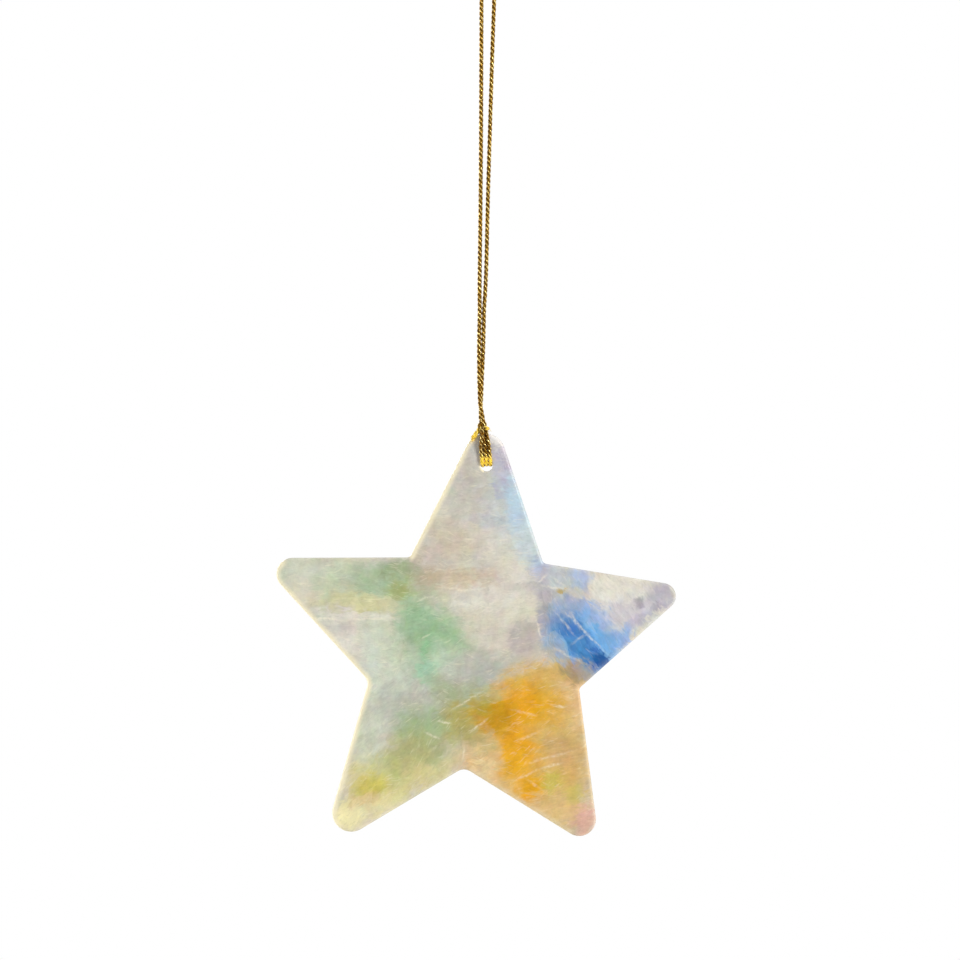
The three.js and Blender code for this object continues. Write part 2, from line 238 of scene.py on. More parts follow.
def put(tree, kind, feeds=None, **settings):
    """Adds a node with its settings and feeds its inputs."""
    made = tree.nodes.new(kind)
    for key, value in settings.items():
        setattr(made, key, value)
    feed(tree, made, feeds or {})
    return made


def new_group(name, inputs, outputs):
    """An empty shader node group with named sockets, what it is given, and its output node."""
    group = bpy.data.node_groups.new(name, "ShaderNodeTree")
    for kind, names in (("INPUT", inputs), ("OUTPUT", outputs)):
        for socket, sort in names:
            group.interface.new_socket(name=socket, in_out=kind, socket_type="NodeSocket" + sort)
    return group, group.nodes.new("NodeGroupInput").outputs, group.nodes.new("NodeGroupOutput")


def place_group(tree, group, feeds):
    """Puts a node group into a material or another group, and gives its outputs."""
    return put(tree, "ShaderNodeGroup", feeds, node_tree=group).outputs


def colour(red, green, blue):
    """A colour given as it looks on screen, 0 to 255, as the linear values a shader takes."""
    shown = np.array((red, green, blue)) / 255
    linear = np.where(shown <= 0.04045, shown / 12.92, ((shown + 0.055) / 1.055) ** 2.4)
    return (*linear.tolist(), 1.0)


def shades(**shown):
    """Named colours, each given as it looks on screen."""
    return {name: colour(*values) for name, values in shown.items()}


def math_node(tree, how, first, second):
    """A sum, product or other simple function of two values."""
    return put(tree, "ShaderNodeMath", {0: first, 1: second}, operation=how).outputs[0]


def vector_node(tree, how, first, second):
    """A sum, product or other simple function of two vectors."""
    return put(tree, "ShaderNodeVectorMath", {0: first, 1: second}, operation=how).outputs[0]


def ramp_value(tree, value, low, high, to_low=0.0, to_high=1.0):
    """A value moved smoothly from one range to another, held at the ends."""
    feeds = {"Value": value, "From Min": low, "From Max": high, "To Min": to_low, "To Max": to_high}
    return put(tree, "ShaderNodeMapRange", feeds, interpolation_type="SMOOTHSTEP").outputs[0]


def blend_colour(tree, share, under, over, how="MIX"):
    """Two colours mixed by a share."""
    feeds = {0: share, 6: under, 7: over}
    return put(tree, "ShaderNodeMix", feeds, data_type="RGBA", blend_type=how).outputs[2]


def noise(tree, place, scale, detail=2.0, rough=0.5):
    """A noise node's two outputs: value and colour."""
    feeds = {"Vector": place, "Scale": scale, "Detail": detail, "Roughness": rough}
    return put(tree, "ShaderNodeTexNoise", feeds).outputs


def point_values(tree, *names):
    """The values that a piece's points carry under some names."""
    return [put(tree, "ShaderNodeAttribute", attribute_name=name).outputs["Fac"] for name in names]


def new_material(name):
    """A material with an empty tree, its Principled shader and its output."""
    made = bpy.data.materials.new(name)
    made.use_nodes = True
    tree = made.node_tree
    tree.nodes.clear()
    shader = put(tree, "ShaderNodeBsdfPrincipled")
    put(tree, "ShaderNodeOutputMaterial", {"Surface": shader.outputs[0]})
    return made, tree, shader


def photo_camera():
    """The camera: it looks along +Y, rolled so that the picture's upright leans from the plumb line."""
    data = bpy.data.cameras.new("photo_camera")
    data.sensor_width = SENSOR
    data.lens = SENSOR * CAMERA_AWAY / VIEW_WIDE
    data.clip_start = 0.01
    data.clip_end = 50.0
    camera = bpy.data.objects.new("photo_camera", data)
    roll = math.radians(VIEW_ROLL)
    camera.matrix_world = Matrix((
        (math.cos(roll), -math.sin(roll), 0.0, VIEW_MIDDLE[0] * MM),
        (0.0, 0.0, -1.0, -CAMERA_AWAY * MM),
        (math.sin(roll), math.cos(roll), 0.0, VIEW_MIDDLE[1] * MM),
        (0.0, 0.0, 0.0, 1.0),
    ))
    bpy.context.scene.collection.objects.link(camera)
    bpy.context.scene.camera = camera


photo_camera()

# The glint colour is a painted highlight and the groove colour is painted shade between the plies. The
# bright yellow is both opened foil and a painted highlight where the hitch bends into the hole.
GOLDS = shades(
    dull=(152, 112, 34), plain=(194, 152, 62), tight=(112, 70, 6), glint=(255, 232, 150),
    foil=(255, 214, 12), groove=(92, 58, 0), gloss=(255, 206, 96),
)
# The yarn's three figures, of which the glints are a painted highlight: how fine each is to the
# centimetre and to the turn, its detail and its roughness.
FOIL_STRIPS = (9.0, 46.0, 3.0, 0.6)
PAINTED_GLINTS = (15.0, 6.5, 2.0, 0.55)
WORN_PATCHES = (2.4, 1.0, 1.0, 0.5)


def gold_cord_finish():
    """Gold yarn: painted glints, a bright crown on each ply, painted shade in the grooves, and fine foil
    strips.

    The map's first value is the distance along the cord in centimetres and its second the turn
    round it, which follows the plies, so streaks that are long in the first follow the yarn. Where
    its share is set, the yarn is a darker brown. The bright yellow is opened foil at a cut end and a
    painted highlight where the hitch bends into the hole; there the yarn is less like metal and the
    painted shade of its grooves hardly shows.
    """
    made, tree, shader = new_material("gold_cord")
    at = put(tree, "ShaderNodeUVMap", uv_map="UVMap").outputs[0]
    groove, open_foil, tight = point_values(tree, "groove", "open_foil", "tight")
    strips, glints, patches = (
        noise(tree, vector_node(tree, "MULTIPLY", at, (along, around, 1.0)), 1.0, detail, rough)[0]
        for along, around, detail, rough in (FOIL_STRIPS, PAINTED_GLINTS, WORN_PATCHES)
    )
    tone = blend_colour(tree, ramp_value(tree, patches, 0.35, 0.65), GOLDS["dull"], GOLDS["plain"])
    # A darker brown where its share is set: in the neck, the knot and the winding.
    tone = blend_colour(tree, tight, tone, GOLDS["tight"])
    # Painted glints: spots of pale gold laid into the colour, more of them where the bright yellow lies.
    painted_glint_share = math_node(tree, "ADD", glints, math_node(tree, "MULTIPLY", open_foil, 0.2))
    tone = blend_colour(tree, ramp_value(tree, painted_glint_share, 0.48, 0.6), tone, GOLDS["glint"])
    # The bright yellow: opened foil at a cut end, and a painted highlight where the hitch bends into the
    # hole.
    tone = blend_colour(tree, math_node(tree, "MULTIPLY", open_foil, 0.8), tone, GOLDS["foil"])
    # Painted shade in the grooves between the plies, weaker where the bright yellow lies.
    uneven = math_node(tree, "ADD", groove, ramp_value(tree, strips, 0.3, 0.7, 0.14, -0.14))
    depth = math_node(tree, "MULTIPLY", uneven, ramp_value(tree, open_foil, 0.2, 1.0, 1.0, 0.12))
    tone = blend_colour(tree, ramp_value(tree, depth, 0.06, 0.56), tone, GOLDS["groove"])
    metal = ramp_value(tree, depth, 0.1, 0.9, 0.6, 0.15)
    plain = ramp_value(tree, open_foil, 0.2, 0.8, 1.0, 0.15)
    bump = put(tree, "ShaderNodeBump", {"Strength": 0.5, "Distance": 0.08 * MM, "Height": strips})
    feed(tree, shader, {
        "Base Color": tone,
        "Roughness": ramp_value(tree, depth, 0.0, 1.0, 0.26, 0.6),
        "Metallic": math_node(tree, "MULTIPLY", metal, plain),
        "Specular Tint": GOLDS["gloss"],
        "Normal": bump.outputs[0],
    })
    return made


GOLD = gold_cord_finish()


def spokes(side, front, angle):
    """Unit spokes round a line: its one normal times the angle's cosine plus the other times its sine."""
    return np.cos(angle)[..., None] * side[:, None] + np.sin(angle)[..., None] * front[:, None]


def twisted_cord(
    route, across, radius=CORD_RADIUS, lay=CORD_LAY, turned=0.0, ring=False, open_and_lit=0.0, darkened=0.0
):
    """The skin of a twisted cord along a route.

    The section is three touching circles, one for each ply: at an angle f from the nearest ply's
    middle the edge is b cos f + sqrt(a a - b b sin f sin f) out, where b is how far the plies'
    middles stand out and a is their radius, and no groove is deeper than a set share. It turns
    clockwise, seen along the route, by one turn in each lay. Open ends are rounded over. Two shares
    that may change along the route set the bright yellow, which is opened foil at a cut end and a
    painted highlight on the hitch, and a darker brown.
    """
    ahead = np.roll(route, -1, 0) - np.roll(route, 1, 0) if ring else np.gradient(route, axis=0)
    along = unit(ahead)
    across = np.broadcast_to(np.asarray(across, float), route.shape)
    side = unit(across - (across * along).sum(1, keepdims=True) * along)
    front = np.cross(along, side)
    run = run_along(route)
    turn = np.arange(CORD_SIDES) * (2 * np.pi / CORD_SIDES)
    ply = 2 * np.pi / CORD_PLIES
    off = (turn + ply / 2) % ply - ply / 2
    out = radius / (1 + math.sin(ply / 2))
    own = radius - out
    edge = out * np.cos(off) + np.sqrt(np.maximum(own**2 - (out * np.sin(off)) ** 2, 0.0))
    edge = np.maximum(edge, radius * GROOVE_FLOOR)
    groove = (radius - edge) / (radius * (1 - GROOVE_FLOOR))
    angle = turn[None, :] - 2 * np.pi * run[:, None] / lay + math.radians(turned)
    reach = np.broadcast_to(edge, angle.shape)
    if not ring:
        from_end = np.minimum(run, run[-1] - run) / (END_ROUND * radius)
        reach = reach * np.sqrt(1 - (1 - np.clip(from_end, END_BLUNT, 1.0)) ** 2)[:, None]
    rows = route[:, None] + reach[..., None] * spokes(side, front, angle)
    made = skin(rows, None if ring else (route[0], route[-1]))
    ends = 0 if ring else 2
    made["values"] = {"groove": np.concatenate((np.tile(groove, len(route)), np.zeros(ends)))}
    for key, share in (("open_foil", open_and_lit), ("tight", darkened)):
        share = np.broadcast_to(share, len(route))
        made["values"][key] = np.concatenate((np.repeat(share, CORD_SIDES), share[[0, -1]][:ends]))
    place = np.stack(np.meshgrid(run / CM, turn / (2 * np.pi), indexing="ij"), -1)
    tips = np.array(((run[0] / CM, 0.5), (run[-1] / CM, 0.5)))[:ends]
    made["uv"] = np.vstack((place.reshape(-1, 2), tips))
    return made


def hanging_route():
    """The cord's middle line: out of the knot, up the left strand, round the hook and back down.

    In the neck the strands stand either side of a middle line and turn about it as they go down;
    above, each keeps its own distance from the upright through the hook.
    """
    drop = np.array((-119.3, -118.4, -117.5, -116.7, -115.8, -115.0, -114.0, -112.8, -111.4, -110.0,
                     -108.0, -105.5, -103.0, -100.0, -97.0, -94.0))
    middle = np.interp(drop, (-119.3, -117.4, -114.0, -108.0), (0.76, 0.5, 0.12, 0.0))
    turn = np.radians(np.interp(
        -drop, (90.0, 95.0, 100.0, 105.0, 110.0, 113.0, 115.0, 116.7, 118.0, 119.3),
        (0.0, 8.0, 20.0, 42.0, 62.0, 75.0, 90.0, 112.0, 128.0, 138.0),
    ))
    apart = np.interp(drop, (-119.3, -117.0, -94.0), (0.3, 0.52, 0.56))
    swing = np.stack((apart * np.cos(turn), apart * np.sin(turn), 0 * drop), 1)
    spine = np.stack((middle, 0 * drop, drop), 1)
    shares = np.array((1.0, 0.961, 0.894, 0.782, 0.648, 0.503, 0.358, 0.212, 0.09))
    left = np.array((0.11, 0.21, 0.29, 0.35, 0.47, 0.63, 0.83, 1.03, 1.21)) + SOLID_CORD_RADIUS
    right = np.array((0.11, 0.27, 0.45, 0.5, 0.57, 0.71, 0.85, 1.02, 1.21)) + SOLID_CORD_RADIUS
    bend = np.radians(np.arange(180, -1, -20))
    hook = HOOK_RADIUS + SOLID_CORD_RADIUS
    over = np.stack((hook * np.cos(bend), 0 * bend, hook * np.sin(bend) - HOOK_RADIUS), 1)
    up = np.stack((-left, 0 * left, LOOP_FOOT * shares), 1)
    down = np.stack((right, 0 * right, LOOP_FOOT * shares), 1)[::-1]
    return smooth_route(np.vstack((spine - swing, up, over, down, (spine + swing)[::-1])), CORD_STEP)


# The hitch: from one turn's middle to the next one's, and the cord's gaps to the face and the edge.
HITCH_PITCH = 1.04
FACE_GAP = 0.04
EDGE_GAP = 0.05


def hitch_route():
    """The middle line of the hitch: three passes through the hole and two over the star's edge.

    One half runs from the knot down the face, through the hole, up the back, over the edge and
    down the face into the middle of the hole. The other is the same half turned about the upright.
    """
    pitch = HITCH_PITCH
    inner = PLATE_HALF + FACE_GAP + CORD_RADIUS
    crest = EDGE_OVER_HOLE + EDGE_GAP + CORD_RADIUS
    knot = leaned((KNOT - HOLE)[None], HITCH_LEAN, 0.0)[0]
    into = unit(np.array((-0.15, -0.8, -0.58)))
    half = np.array((
        knot + 0.4 * into,
        knot + 1.2 * into,
        (-0.42 * pitch, -inner - 0.9, 8.0),
        (-0.7 * pitch, -inner - 0.72, 6.5),
        (-0.97 * pitch, -inner - 0.35, 5.0),
        (-pitch, -inner - 0.02, 3.6),
        (-0.99 * pitch, -inner - 0.02, 2.2),
        (-1.0, -1.46, 0.9),
        (-0.98, -0.8, 0.2),
        (-0.98, 0.0, 0.1),
        (-0.98, 0.8, 0.2),
        (-1.0, 1.46, 0.9),
        (-0.99 * pitch, inner + 0.02, 2.2),
        (-pitch, inner, 3.6),
        (-0.95 * pitch, inner, 5.2),
        (-0.8 * pitch, inner, 6.9),
        (-0.64 * pitch, 0.74 * inner, 8.34),
        (-0.52 * pitch, 0.0, crest),
        (-0.4 * pitch, -0.74 * inner, 8.34),
        (-0.2 * pitch, -inner, 6.9),
        (0.0, -inner, 5.0),
        (0.0, -inner, 3.4),
        (0.0, -inner - 0.02, 2.3),
        (0.0, -1.44, 1.15),
        (0.0, -0.8, 0.34),
        (0.0, 0.0, 0.18),
    ))
    rest = half[-2::-1] * (-1.0, -1.0, 1.0)
    rest[-2:] = half[1::-1] * (1.0, -1.0, 1.0)
    return smooth_route(leaned(np.vstack((half, rest)), -HITCH_LEAN, HOLE), CORD_STEP)


# The knot's wraps: their size across, upward and in depth, how far they sit up, and their lean.
KNOT_WIDE, KNOT_TALL, KNOT_DEEP = 0.27, 0.23, 0.5
KNOT_RAISED = 0.1
KNOT_LEAN = -25.0
KNOT_STEPS = 150
KNOT_TURNS = 5


def knot_route():
    """A closed trefoil about the knot's middle: sin t + 2 sin 2t, cos t - 2 cos 2t and sin 3t."""
    t = np.linspace(0.0, 2 * np.pi, KNOT_STEPS, endpoint=False)
    across = KNOT_WIDE * (np.sin(t) + 2 * np.sin(2 * t))
    upward = KNOT_TALL * (np.cos(t) - 2 * np.cos(2 * t)) + KNOT_RAISED
    return leaned(np.stack((across, -KNOT_DEEP * np.sin(3 * t), upward), 1), KNOT_LEAN, KNOT)


# A cut end: how much it swells, how far back in it its threads start, and their mesh.
END_SWELL = 1.22
THREAD_BACK = 0.35
THREAD_RADIUS = 0.09
THREAD_TAPER = 0.6
THREAD_STEPS, THREAD_SIDES = 9, 6
THREAD_VALUES = {"groove": 0.0, "open_foil": 0.7, "tight": 0.0}


def filament(start, way, length, bow):
    """A loose foil thread: a thin tapering tube along a quadratic curve that bows to one side."""
    t = np.linspace(0.0, 1.0, THREAD_STEPS)[:, None]
    route = start + length * (t * way + t**2 * bow)
    along = unit(np.gradient(route, axis=0))
    side = unit(np.cross(along, (0.3, 1.0, 0.2)))
    turn = np.arange(THREAD_SIDES) * (2 * np.pi / THREAD_SIDES)
    reach = THREAD_RADIUS * (1 - THREAD_TAPER * t)[:, :, None]
    rows = route[:, None] + reach * spokes(side, np.cross(along, side), turn[None])
    made = skin(rows, (route[0], route[-1]))
    count = len(made["points"])
    made["values"] = {key: np.full(count, share) for key, share in THREAD_VALUES.items()}
    made["uv"] = np.stack((np.linspace(0.0, 0.2, count), np.full(count, 0.25)), 1)
    return made


def tail_skins(points, threads, seed):
    """A cut end of the cord out of the knot, with foil threads standing out of its cut."""
    draw = np.random.default_rng(seed)
    points = np.array(points)
    way = unit(points[-1] - points[-2])
    route = smooth_route(points, CORD_STEP)
    frayed = np.linspace(0.3, 1.0, len(route))
    swollen = END_SWELL * CORD_RADIUS
    skins = [twisted_cord(route, (0.2, 1.0, 0.1), swollen, turned=40.0 * seed, open_and_lit=frayed)]
    spread = draw.normal(0.0, 0.3, (threads, 3))
    bows = draw.normal(0.0, 0.3, (threads, 3))
    reaches = draw.uniform(0.5, 0.95, threads)
    places = draw.normal(0.0, 0.28, (threads, 3))
    for spot, stray, bow, reach in zip(places, spread, bows, reaches):
        skins.append(filament(points[-1] - THREAD_BACK * way + spot, unit(way + stray), reach, bow))
    return skins


# The yarn turns to half of its darker brown over this length, which has the loop's foot at its middle.
DARKENS_OVER = 30.0
route = hanging_route()
in_neck = 0.5 * np.clip((LOOP_FOOT + DARKENS_OVER / 2 - route[:, 2]) / DARKENS_OVER, 0.0, 1.0)
hanging_cord = make_piece(
    "hanging_cord", [twisted_cord(route, (0.0, 1.0, 0.0), SLACK_RADIUS, darkened=in_neck)], GOLD
)
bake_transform(hanging_cord)
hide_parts("cord_loop", "cord_neck")

loops = knot_route()
lay_of_knot = run_along(np.vstack((loops, loops[:1])))[-1] / KNOT_TURNS
knot_wraps = make_piece(
    "knot_wraps", [twisted_cord(loops, loops - KNOT, lay=lay_of_knot, ring=True, darkened=0.4)], GOLD
)
LONG_END = (
    (0.5, -0.35, -119.8), (-0.15, -0.95, -120.5), (-0.95, -1.45, -121.6), (-1.75, -1.65, -122.75),
)
SHORT_END = ((1.0, -0.3, -119.6), (1.6, -0.6, -120.0), (2.2, -0.8, -120.5))
long_end = make_piece("long_end", tail_skins(LONG_END, threads=22, seed=3), GOLD)
short_end = make_piece("short_end", tail_skins(SHORT_END, threads=8, seed=8), GOLD)

# A painted highlight lies on the hitch where the cord bends into the hole: how high over the hole it lies
# and how far about it spreads.
HIGHLIGHT_AT, HIGHLIGHT_ABOUT = 1.1, 1.5
turns = hitch_route()
bend_highlight = np.exp(-(((turns[:, 2] - HOLE[2] - HIGHLIGHT_AT) / HIGHLIGHT_ABOUT) ** 2))
# The hitch is a darker brown everywhere but under its painted highlight.
hitch_turns = make_piece("hitch_turns", [twisted_cord(
    turns, (1.0, 0.0, 0.0), open_and_lit=bend_highlight, darkened=0.85 * (1 - bend_highlight)
)], GOLD)

for piece, body, node in (
    (knot_wraps, "knot", "knot"), (long_end, "knot", "long_tail"),
    (short_end, "knot", "short_tail"), (hitch_turns, "star", "hitch_winding"),
):
    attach(piece, body)
    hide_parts(node)

# The star's outline, seen from its centre: how far its tips and notches reach, and their rounds.
ARM_REACH = 61.8
NOTCH_REACH = 28.9
TIP_ROUND = 4.3
NOTCH_ROUND = 1.8
TIP_STEPS, NOTCH_STEPS = 41, 17
ARMS = ("top", "right", "lower_right", "lower_left", "left")
# How far the hand cut is off at each arm's tip, and at the notch after it: in turn, reach and round.
HAND_CUT = np.array((
    ((0.0, 2.4, 0.9), (-1.5, -0.4, -0.4)),
    ((-1.5, -3.9, -0.9), (-1.5, -0.7, -0.6)),
    ((1.0, -1.2, 0.0), (2.5, 1.0, 1.0)),
    ((-1.5, 3.6, 0.6), (-0.5, -0.5, 1.0)),
    ((2.0, -0.7, -0.2), (-2.0, 0.5, -0.4)),
))
# The corners of the front's middle: each notch at a share of its reach, turned on clockwise.
MIDDLE_CORNERS = np.array(((0.9, 3.0), (0.67, -11.5), (0.555, 9.5), (0.695, 2.5), (0.82, -9.5)))
# Where the seams of the back meet, and how far past the notches they come out.
BACK_MEETING = np.array((2.5, -3.5))
BACK_SEAM_MISS = 5.0
OUTLINE_STEP = 0.45


def at_clock(distance, angle):
    """Points at distances and clockwise angles from straight up, on the star's face."""
    turn = np.radians(angle)
    return np.stack((distance * np.sin(turn), distance * np.cos(turn)), -1)


def round_corner(before, corner, after, radius, steps):
    """The arc that rounds a corner: its middle lies on the bisector, radius / sin(half angle) away."""
    back, on = unit(before - corner), unit(after - corner)
    half = math.acos(float(back @ on)) / 2
    middle = corner + unit(back + on) * radius / math.sin(half)
    start = corner + back * radius / math.tan(half) - middle
    end = corner + on * radius / math.tan(half) - middle
    sweep = math.atan2(start[0] * end[1] - start[1] * end[0], float(start @ end))
    turn = np.linspace(0.0, sweep, steps)[:, None]
    return middle + start * np.cos(turn) + start[::-1] * (-1.0, 1.0) * np.sin(turn)


PLACES = np.arange(5) * 72.0
TIPS = at_clock(ARM_REACH + HAND_CUT[:, 0, 1], PLACES + HAND_CUT[:, 0, 0])
NOTCHES = at_clock(NOTCH_REACH + HAND_CUT[:, 1, 1], PLACES + 36.0 + HAND_CUT[:, 1, 0])
CORNERS = np.stack((TIPS, NOTCHES), 1).reshape(10, 2)
ROUNDS = (HAND_CUT[:, :, 2] + (TIP_ROUND, NOTCH_ROUND)).reshape(10)
ARCS = [
    round_corner(
        CORNERS[k - 1], CORNERS[k], CORNERS[(k + 1) % 10], ROUNDS[k], (TIP_STEPS, NOTCH_STEPS)[k % 2]
    )
    for k in range(10)
]
OUTLINE = np.vstack(ARCS)
OUTLINE_NEXT = np.roll(OUTLINE, -1, 0)
# How far each short line of the outline faces left, from 0 to 1: its rise, less 0.3, over 0.5.
# This share sets how strongly the rim's painted glow shows along each short line.
FACES_LEFT = np.clip((unit(OUTLINE_NEXT - OUTLINE)[:, 1] - 0.3) / 0.5, 0.0, 1.0)


def from_lines(points, starts, ends):
    """Distance of points from the nearest of some short lines, and which line that is."""
    edge = ends - starts
    reach = points[:, None, :] - starts
    share = np.clip((reach * edge).sum(-1) / (edge * edge).sum(-1), 0.0, 1.0)
    away = np.linalg.norm(reach - share[..., None] * edge, axis=-1)
    return away.min(1), away.argmin(1)


def from_hole(points):
    """Distance of points on the star's face from the edge of its hole."""
    return np.linalg.norm(points - HOLE_AT, axis=1) - HOLE_RADIUS


# The slow waves in the face, by their pitch across and upward and their start, and their height.
SHELL_WAVES = ((0.31, 0.12, 0.0), (-0.17, 0.23, 1.0), (0.11, 0.37, 2.0))
WAVE_HEIGHT = 0.012


def face_depth(points):
    """How far the face stands from the plate's middle.

    It falls away to the outline and to the hole in quarter rounds, and between them it swells and
    sinks by a few hundredths, as split shell does: the sum of three slow waves across the face,
    which die down towards the edge and the hole.
    """
    def rounded(distance, radius):
        short = radius - np.minimum(distance, radius)
        return radius - np.sqrt(radius**2 - short**2)

    edge = from_lines(points, OUTLINE, OUTLINE_NEXT)[0]
    rim = from_hole(points)
    x, z = points.T
    waves = sum(np.sin(across * x + upward * z + start) for across, upward, start in SHELL_WAVES)
    calm = np.clip((edge - EDGE_ROUND) / 3.0, 0.0, 1.0) * np.clip((rim - 0.5) / 2.0, 0.0, 1.0)
    fall = rounded(edge, EDGE_ROUND) + rounded(np.maximum(rim, 0.0), HOLE_ROUND)
    return PLATE_HALF - fall + WAVE_HEIGHT * waves * calm


# The rows of a shell's skin: distances in from the boundary, then shares of the way from the core,
# then shares of the way from the hole's edge to a slim loop, whose width is in radii of the hole.
EDGE_ROWS = np.array((0.0, 0.006, 0.025, 0.06, 0.11, 0.18, 0.27, 0.39, 0.54, 0.74, 1.0, 1.4, 2.0, 2.8))
CORE_ROWS = np.linspace(0.03, 0.97, 16)
HOLE_ROWS = np.array((0.0, 0.02, 0.06, 0.12, 0.2, 0.35, 0.55, 0.8))
SLIM_LOOP = 1.2
# The distance that stands for a point far from every edge and seam.
FAR_OFF = 9.0


def shell_skin(loop, core, face, drilled, seams):
    """The closed skin of one shell piece, from its boundary loop seen on the face.

    Each boundary point is joined to the nearest point of a core line inside the piece. The grid's
    first parameter goes round the loop and its second from the core out to the boundary, over the
    edge and back under to the core. A drilled piece starts and ends at the hole instead, whose
    edge is joined to a slim loop round the core. The upper rows stand as high as the face does,
    and the few under them lie flat on the bond film.
    """
    core = np.asarray(core, float)
    span = core[1] - core[0]
    size = max(float(span @ span), 1e-9)
    share = np.clip(((loop - core[0]) @ span) / size, 0.0, 1.0)[:, None]
    nearest = core[0] + share * span
    slim = SLIM_LOOP * HOLE_RADIUS if drilled else 0.0
    inner = nearest + slim * unit(loop - nearest)
    length = np.linalg.norm(loop - inner, axis=1, keepdims=True)
    near = 1 - np.minimum(EDGE_ROWS[:, None, None] / length, 0.4)
    far = near[-1] * CORE_ROWS[:, None, None]
    top = inner + np.concatenate((far, near[::-1])) * (loop - inner)
    under = top[::-6]
    if drilled:
        ring = HOLE_AT + HOLE_RADIUS * unit(inner - HOLE_AT)
        top = np.concatenate((ring + HOLE_ROWS[:, None, None] * (inner - ring), top))
        under = np.concatenate((top[-1:], top[-8:7:-8], top[:1]))
    depth = face_depth(top.reshape(-1, 2)).reshape(top.shape[:2])
    height = np.concatenate((depth, np.full(under.shape[:2], BOND_HALF)))
    plan = np.concatenate((top, under))
    rows = on_plate(plan, face * height)
    poles = None
    if not drilled:
        ends = np.stack((core.mean(0), core.mean(0)))
        poles = on_plate(ends, face * np.array((face_depth(ends)[0], BOND_HALF)))
    made = skin(rows, poles)
    flat = plan.reshape(-1, 2)
    edge, stretch = from_lines(flat, OUTLINE, OUTLINE_NEXT)
    pad = np.full(0 if drilled else 2, FAR_OFF)
    made["values"] = {
        "from_edge": np.concatenate((edge, pad)),
        "from_hole": np.concatenate((from_hole(flat), pad)),
        "from_seam": np.concatenate((from_lines(flat, *seams)[0], pad)),
        "faces_left": np.concatenate((FACES_LEFT[stretch], 0.0 * pad)),
    }
    row = np.repeat(np.arange(len(rows)), rows.shape[1])
    made["sharp"] = np.concatenate((row == len(top) - 1, np.zeros(len(pad), bool)))
    return made


def outline_between(first, last, k):
    """The outline from one notch, round the tip of arm k, to the next notch, at even spacing."""
    return evenly(np.vstack((first, ARCS[(2 * k) % 10], last)), OUTLINE_STEP)


def closed_loop(*stretches):
    """Stretches of points joined end to end into a loop, without repeating a shared end."""
    return np.vstack([stretch[:-1] for stretch in stretches])


def straight(start, end):
    """Even points on a seam from one point to another."""
    return evenly(np.stack((start, end)), OUTLINE_STEP)


def front_loops():
    """The boundary of each front piece: an arm from notch to notch and its inner seam, or the middle."""
    turn = np.radians(-MIDDLE_CORNERS[:, 1])
    x, z = (NOTCHES * MIDDLE_CORNERS[:, :1]).T
    inner = np.stack((x * np.cos(turn) - z * np.sin(turn), x * np.sin(turn) + z * np.cos(turn)), 1)
    loops = {}
    for k, arm in enumerate(ARMS):
        before, after = ARCS[(2 * k + 9) % 10], ARCS[2 * k + 1]
        half = len(before) // 2
        edge = outline_between(before[half:], after[: half + 1], k)
        loops[arm] = closed_loop(
            edge,
            straight(after[half], inner[k]),
            straight(inner[k], inner[k - 1]),
            straight(inner[k - 1], before[half]),
        )
    loops["middle"] = closed_loop(*[straight(inner[k - 1], inner[k]) for k in range(5)])
    seams = np.vstack((inner, inner)), np.vstack((np.roll(inner, -1, 0), NOTCHES))
    return loops, seams


def back_loops():
    """The boundary of each back piece: seams run from one meeting point to just past each notch."""
    loops = {}
    past = NOTCHES + BACK_SEAM_MISS * unit(np.roll(TIPS, -1, 0) - NOTCHES)
    for k, arm in enumerate(ARMS):
        edge = outline_between(past[k - 1][None], np.vstack((ARCS[2 * k + 1], past[k])), k)
        cuts = straight(past[k], BACK_MEETING), straight(BACK_MEETING, past[k - 1])
        loops[arm] = closed_loop(edge, *cuts)
    return loops, (past, np.broadcast_to(BACK_MEETING, past.shape))


def turned_place(group, place, turn):
    """A place turned across the face."""
    feeds = {"Vector": place, "Angle": turn}
    return put(group, "ShaderNodeVectorRotate", feeds, rotation_type="Y_AXIS").outputs[0]


def from_ellipse(group, place, centre, reach, turn):
    """How far places are from a turned ellipse's middle, where 1 is on its edge."""
    off = turned_place(group, vector_node(group, "SUBTRACT", place, centre), turn)
    share = vector_node(group, "DIVIDE", off, reach)
    return put(group, "ShaderNodeVectorMath", {0: share}, operation="LENGTH").outputs["Value"]


def along_grain(group, place, turn, length, width):
    """A place measured along and across a turned line, by a length and a width."""
    scale = (1 / length, 0.0, 1 / width)
    return vector_node(group, "MULTIPLY", turned_place(group, place, turn), scale)


def strayed(group, place, tint, reach):
    """A place moved across the face by a random colour, up to half a reach each way."""
    stray = vector_node(group, "SUBTRACT", tint, (0.5, 0.5, 0.5))
    return vector_node(group, "ADD", place, vector_node(group, "MULTIPLY", stray, (reach, 0.0, reach)))


def wandered(group, start, ways):
    """A place moved by several noises, each with a scale and a reach, all read where it started."""
    place = start
    for scale, reach in ways:
        place = strayed(group, place, noise(group, start, scale)[1], reach)
    return place


def flakes(group, place, turn, length, width):
    """Flakes of split shell: the cells about scattered points, long on a turned line, each one colour."""
    feeds = {"Vector": along_grain(group, place, turn, length, width), "Scale": 1.0}
    return put(group, "ShaderNodeTexVoronoi", feeds).outputs["Color"]


def flake_shade(group, place, turn, length, width):
    """One random value for each flake: the green of its colour."""
    tint = flakes(group, place, turn, length, width)
    return put(group, "ShaderNodeSeparateColor", {"Color": tint}).outputs[1]


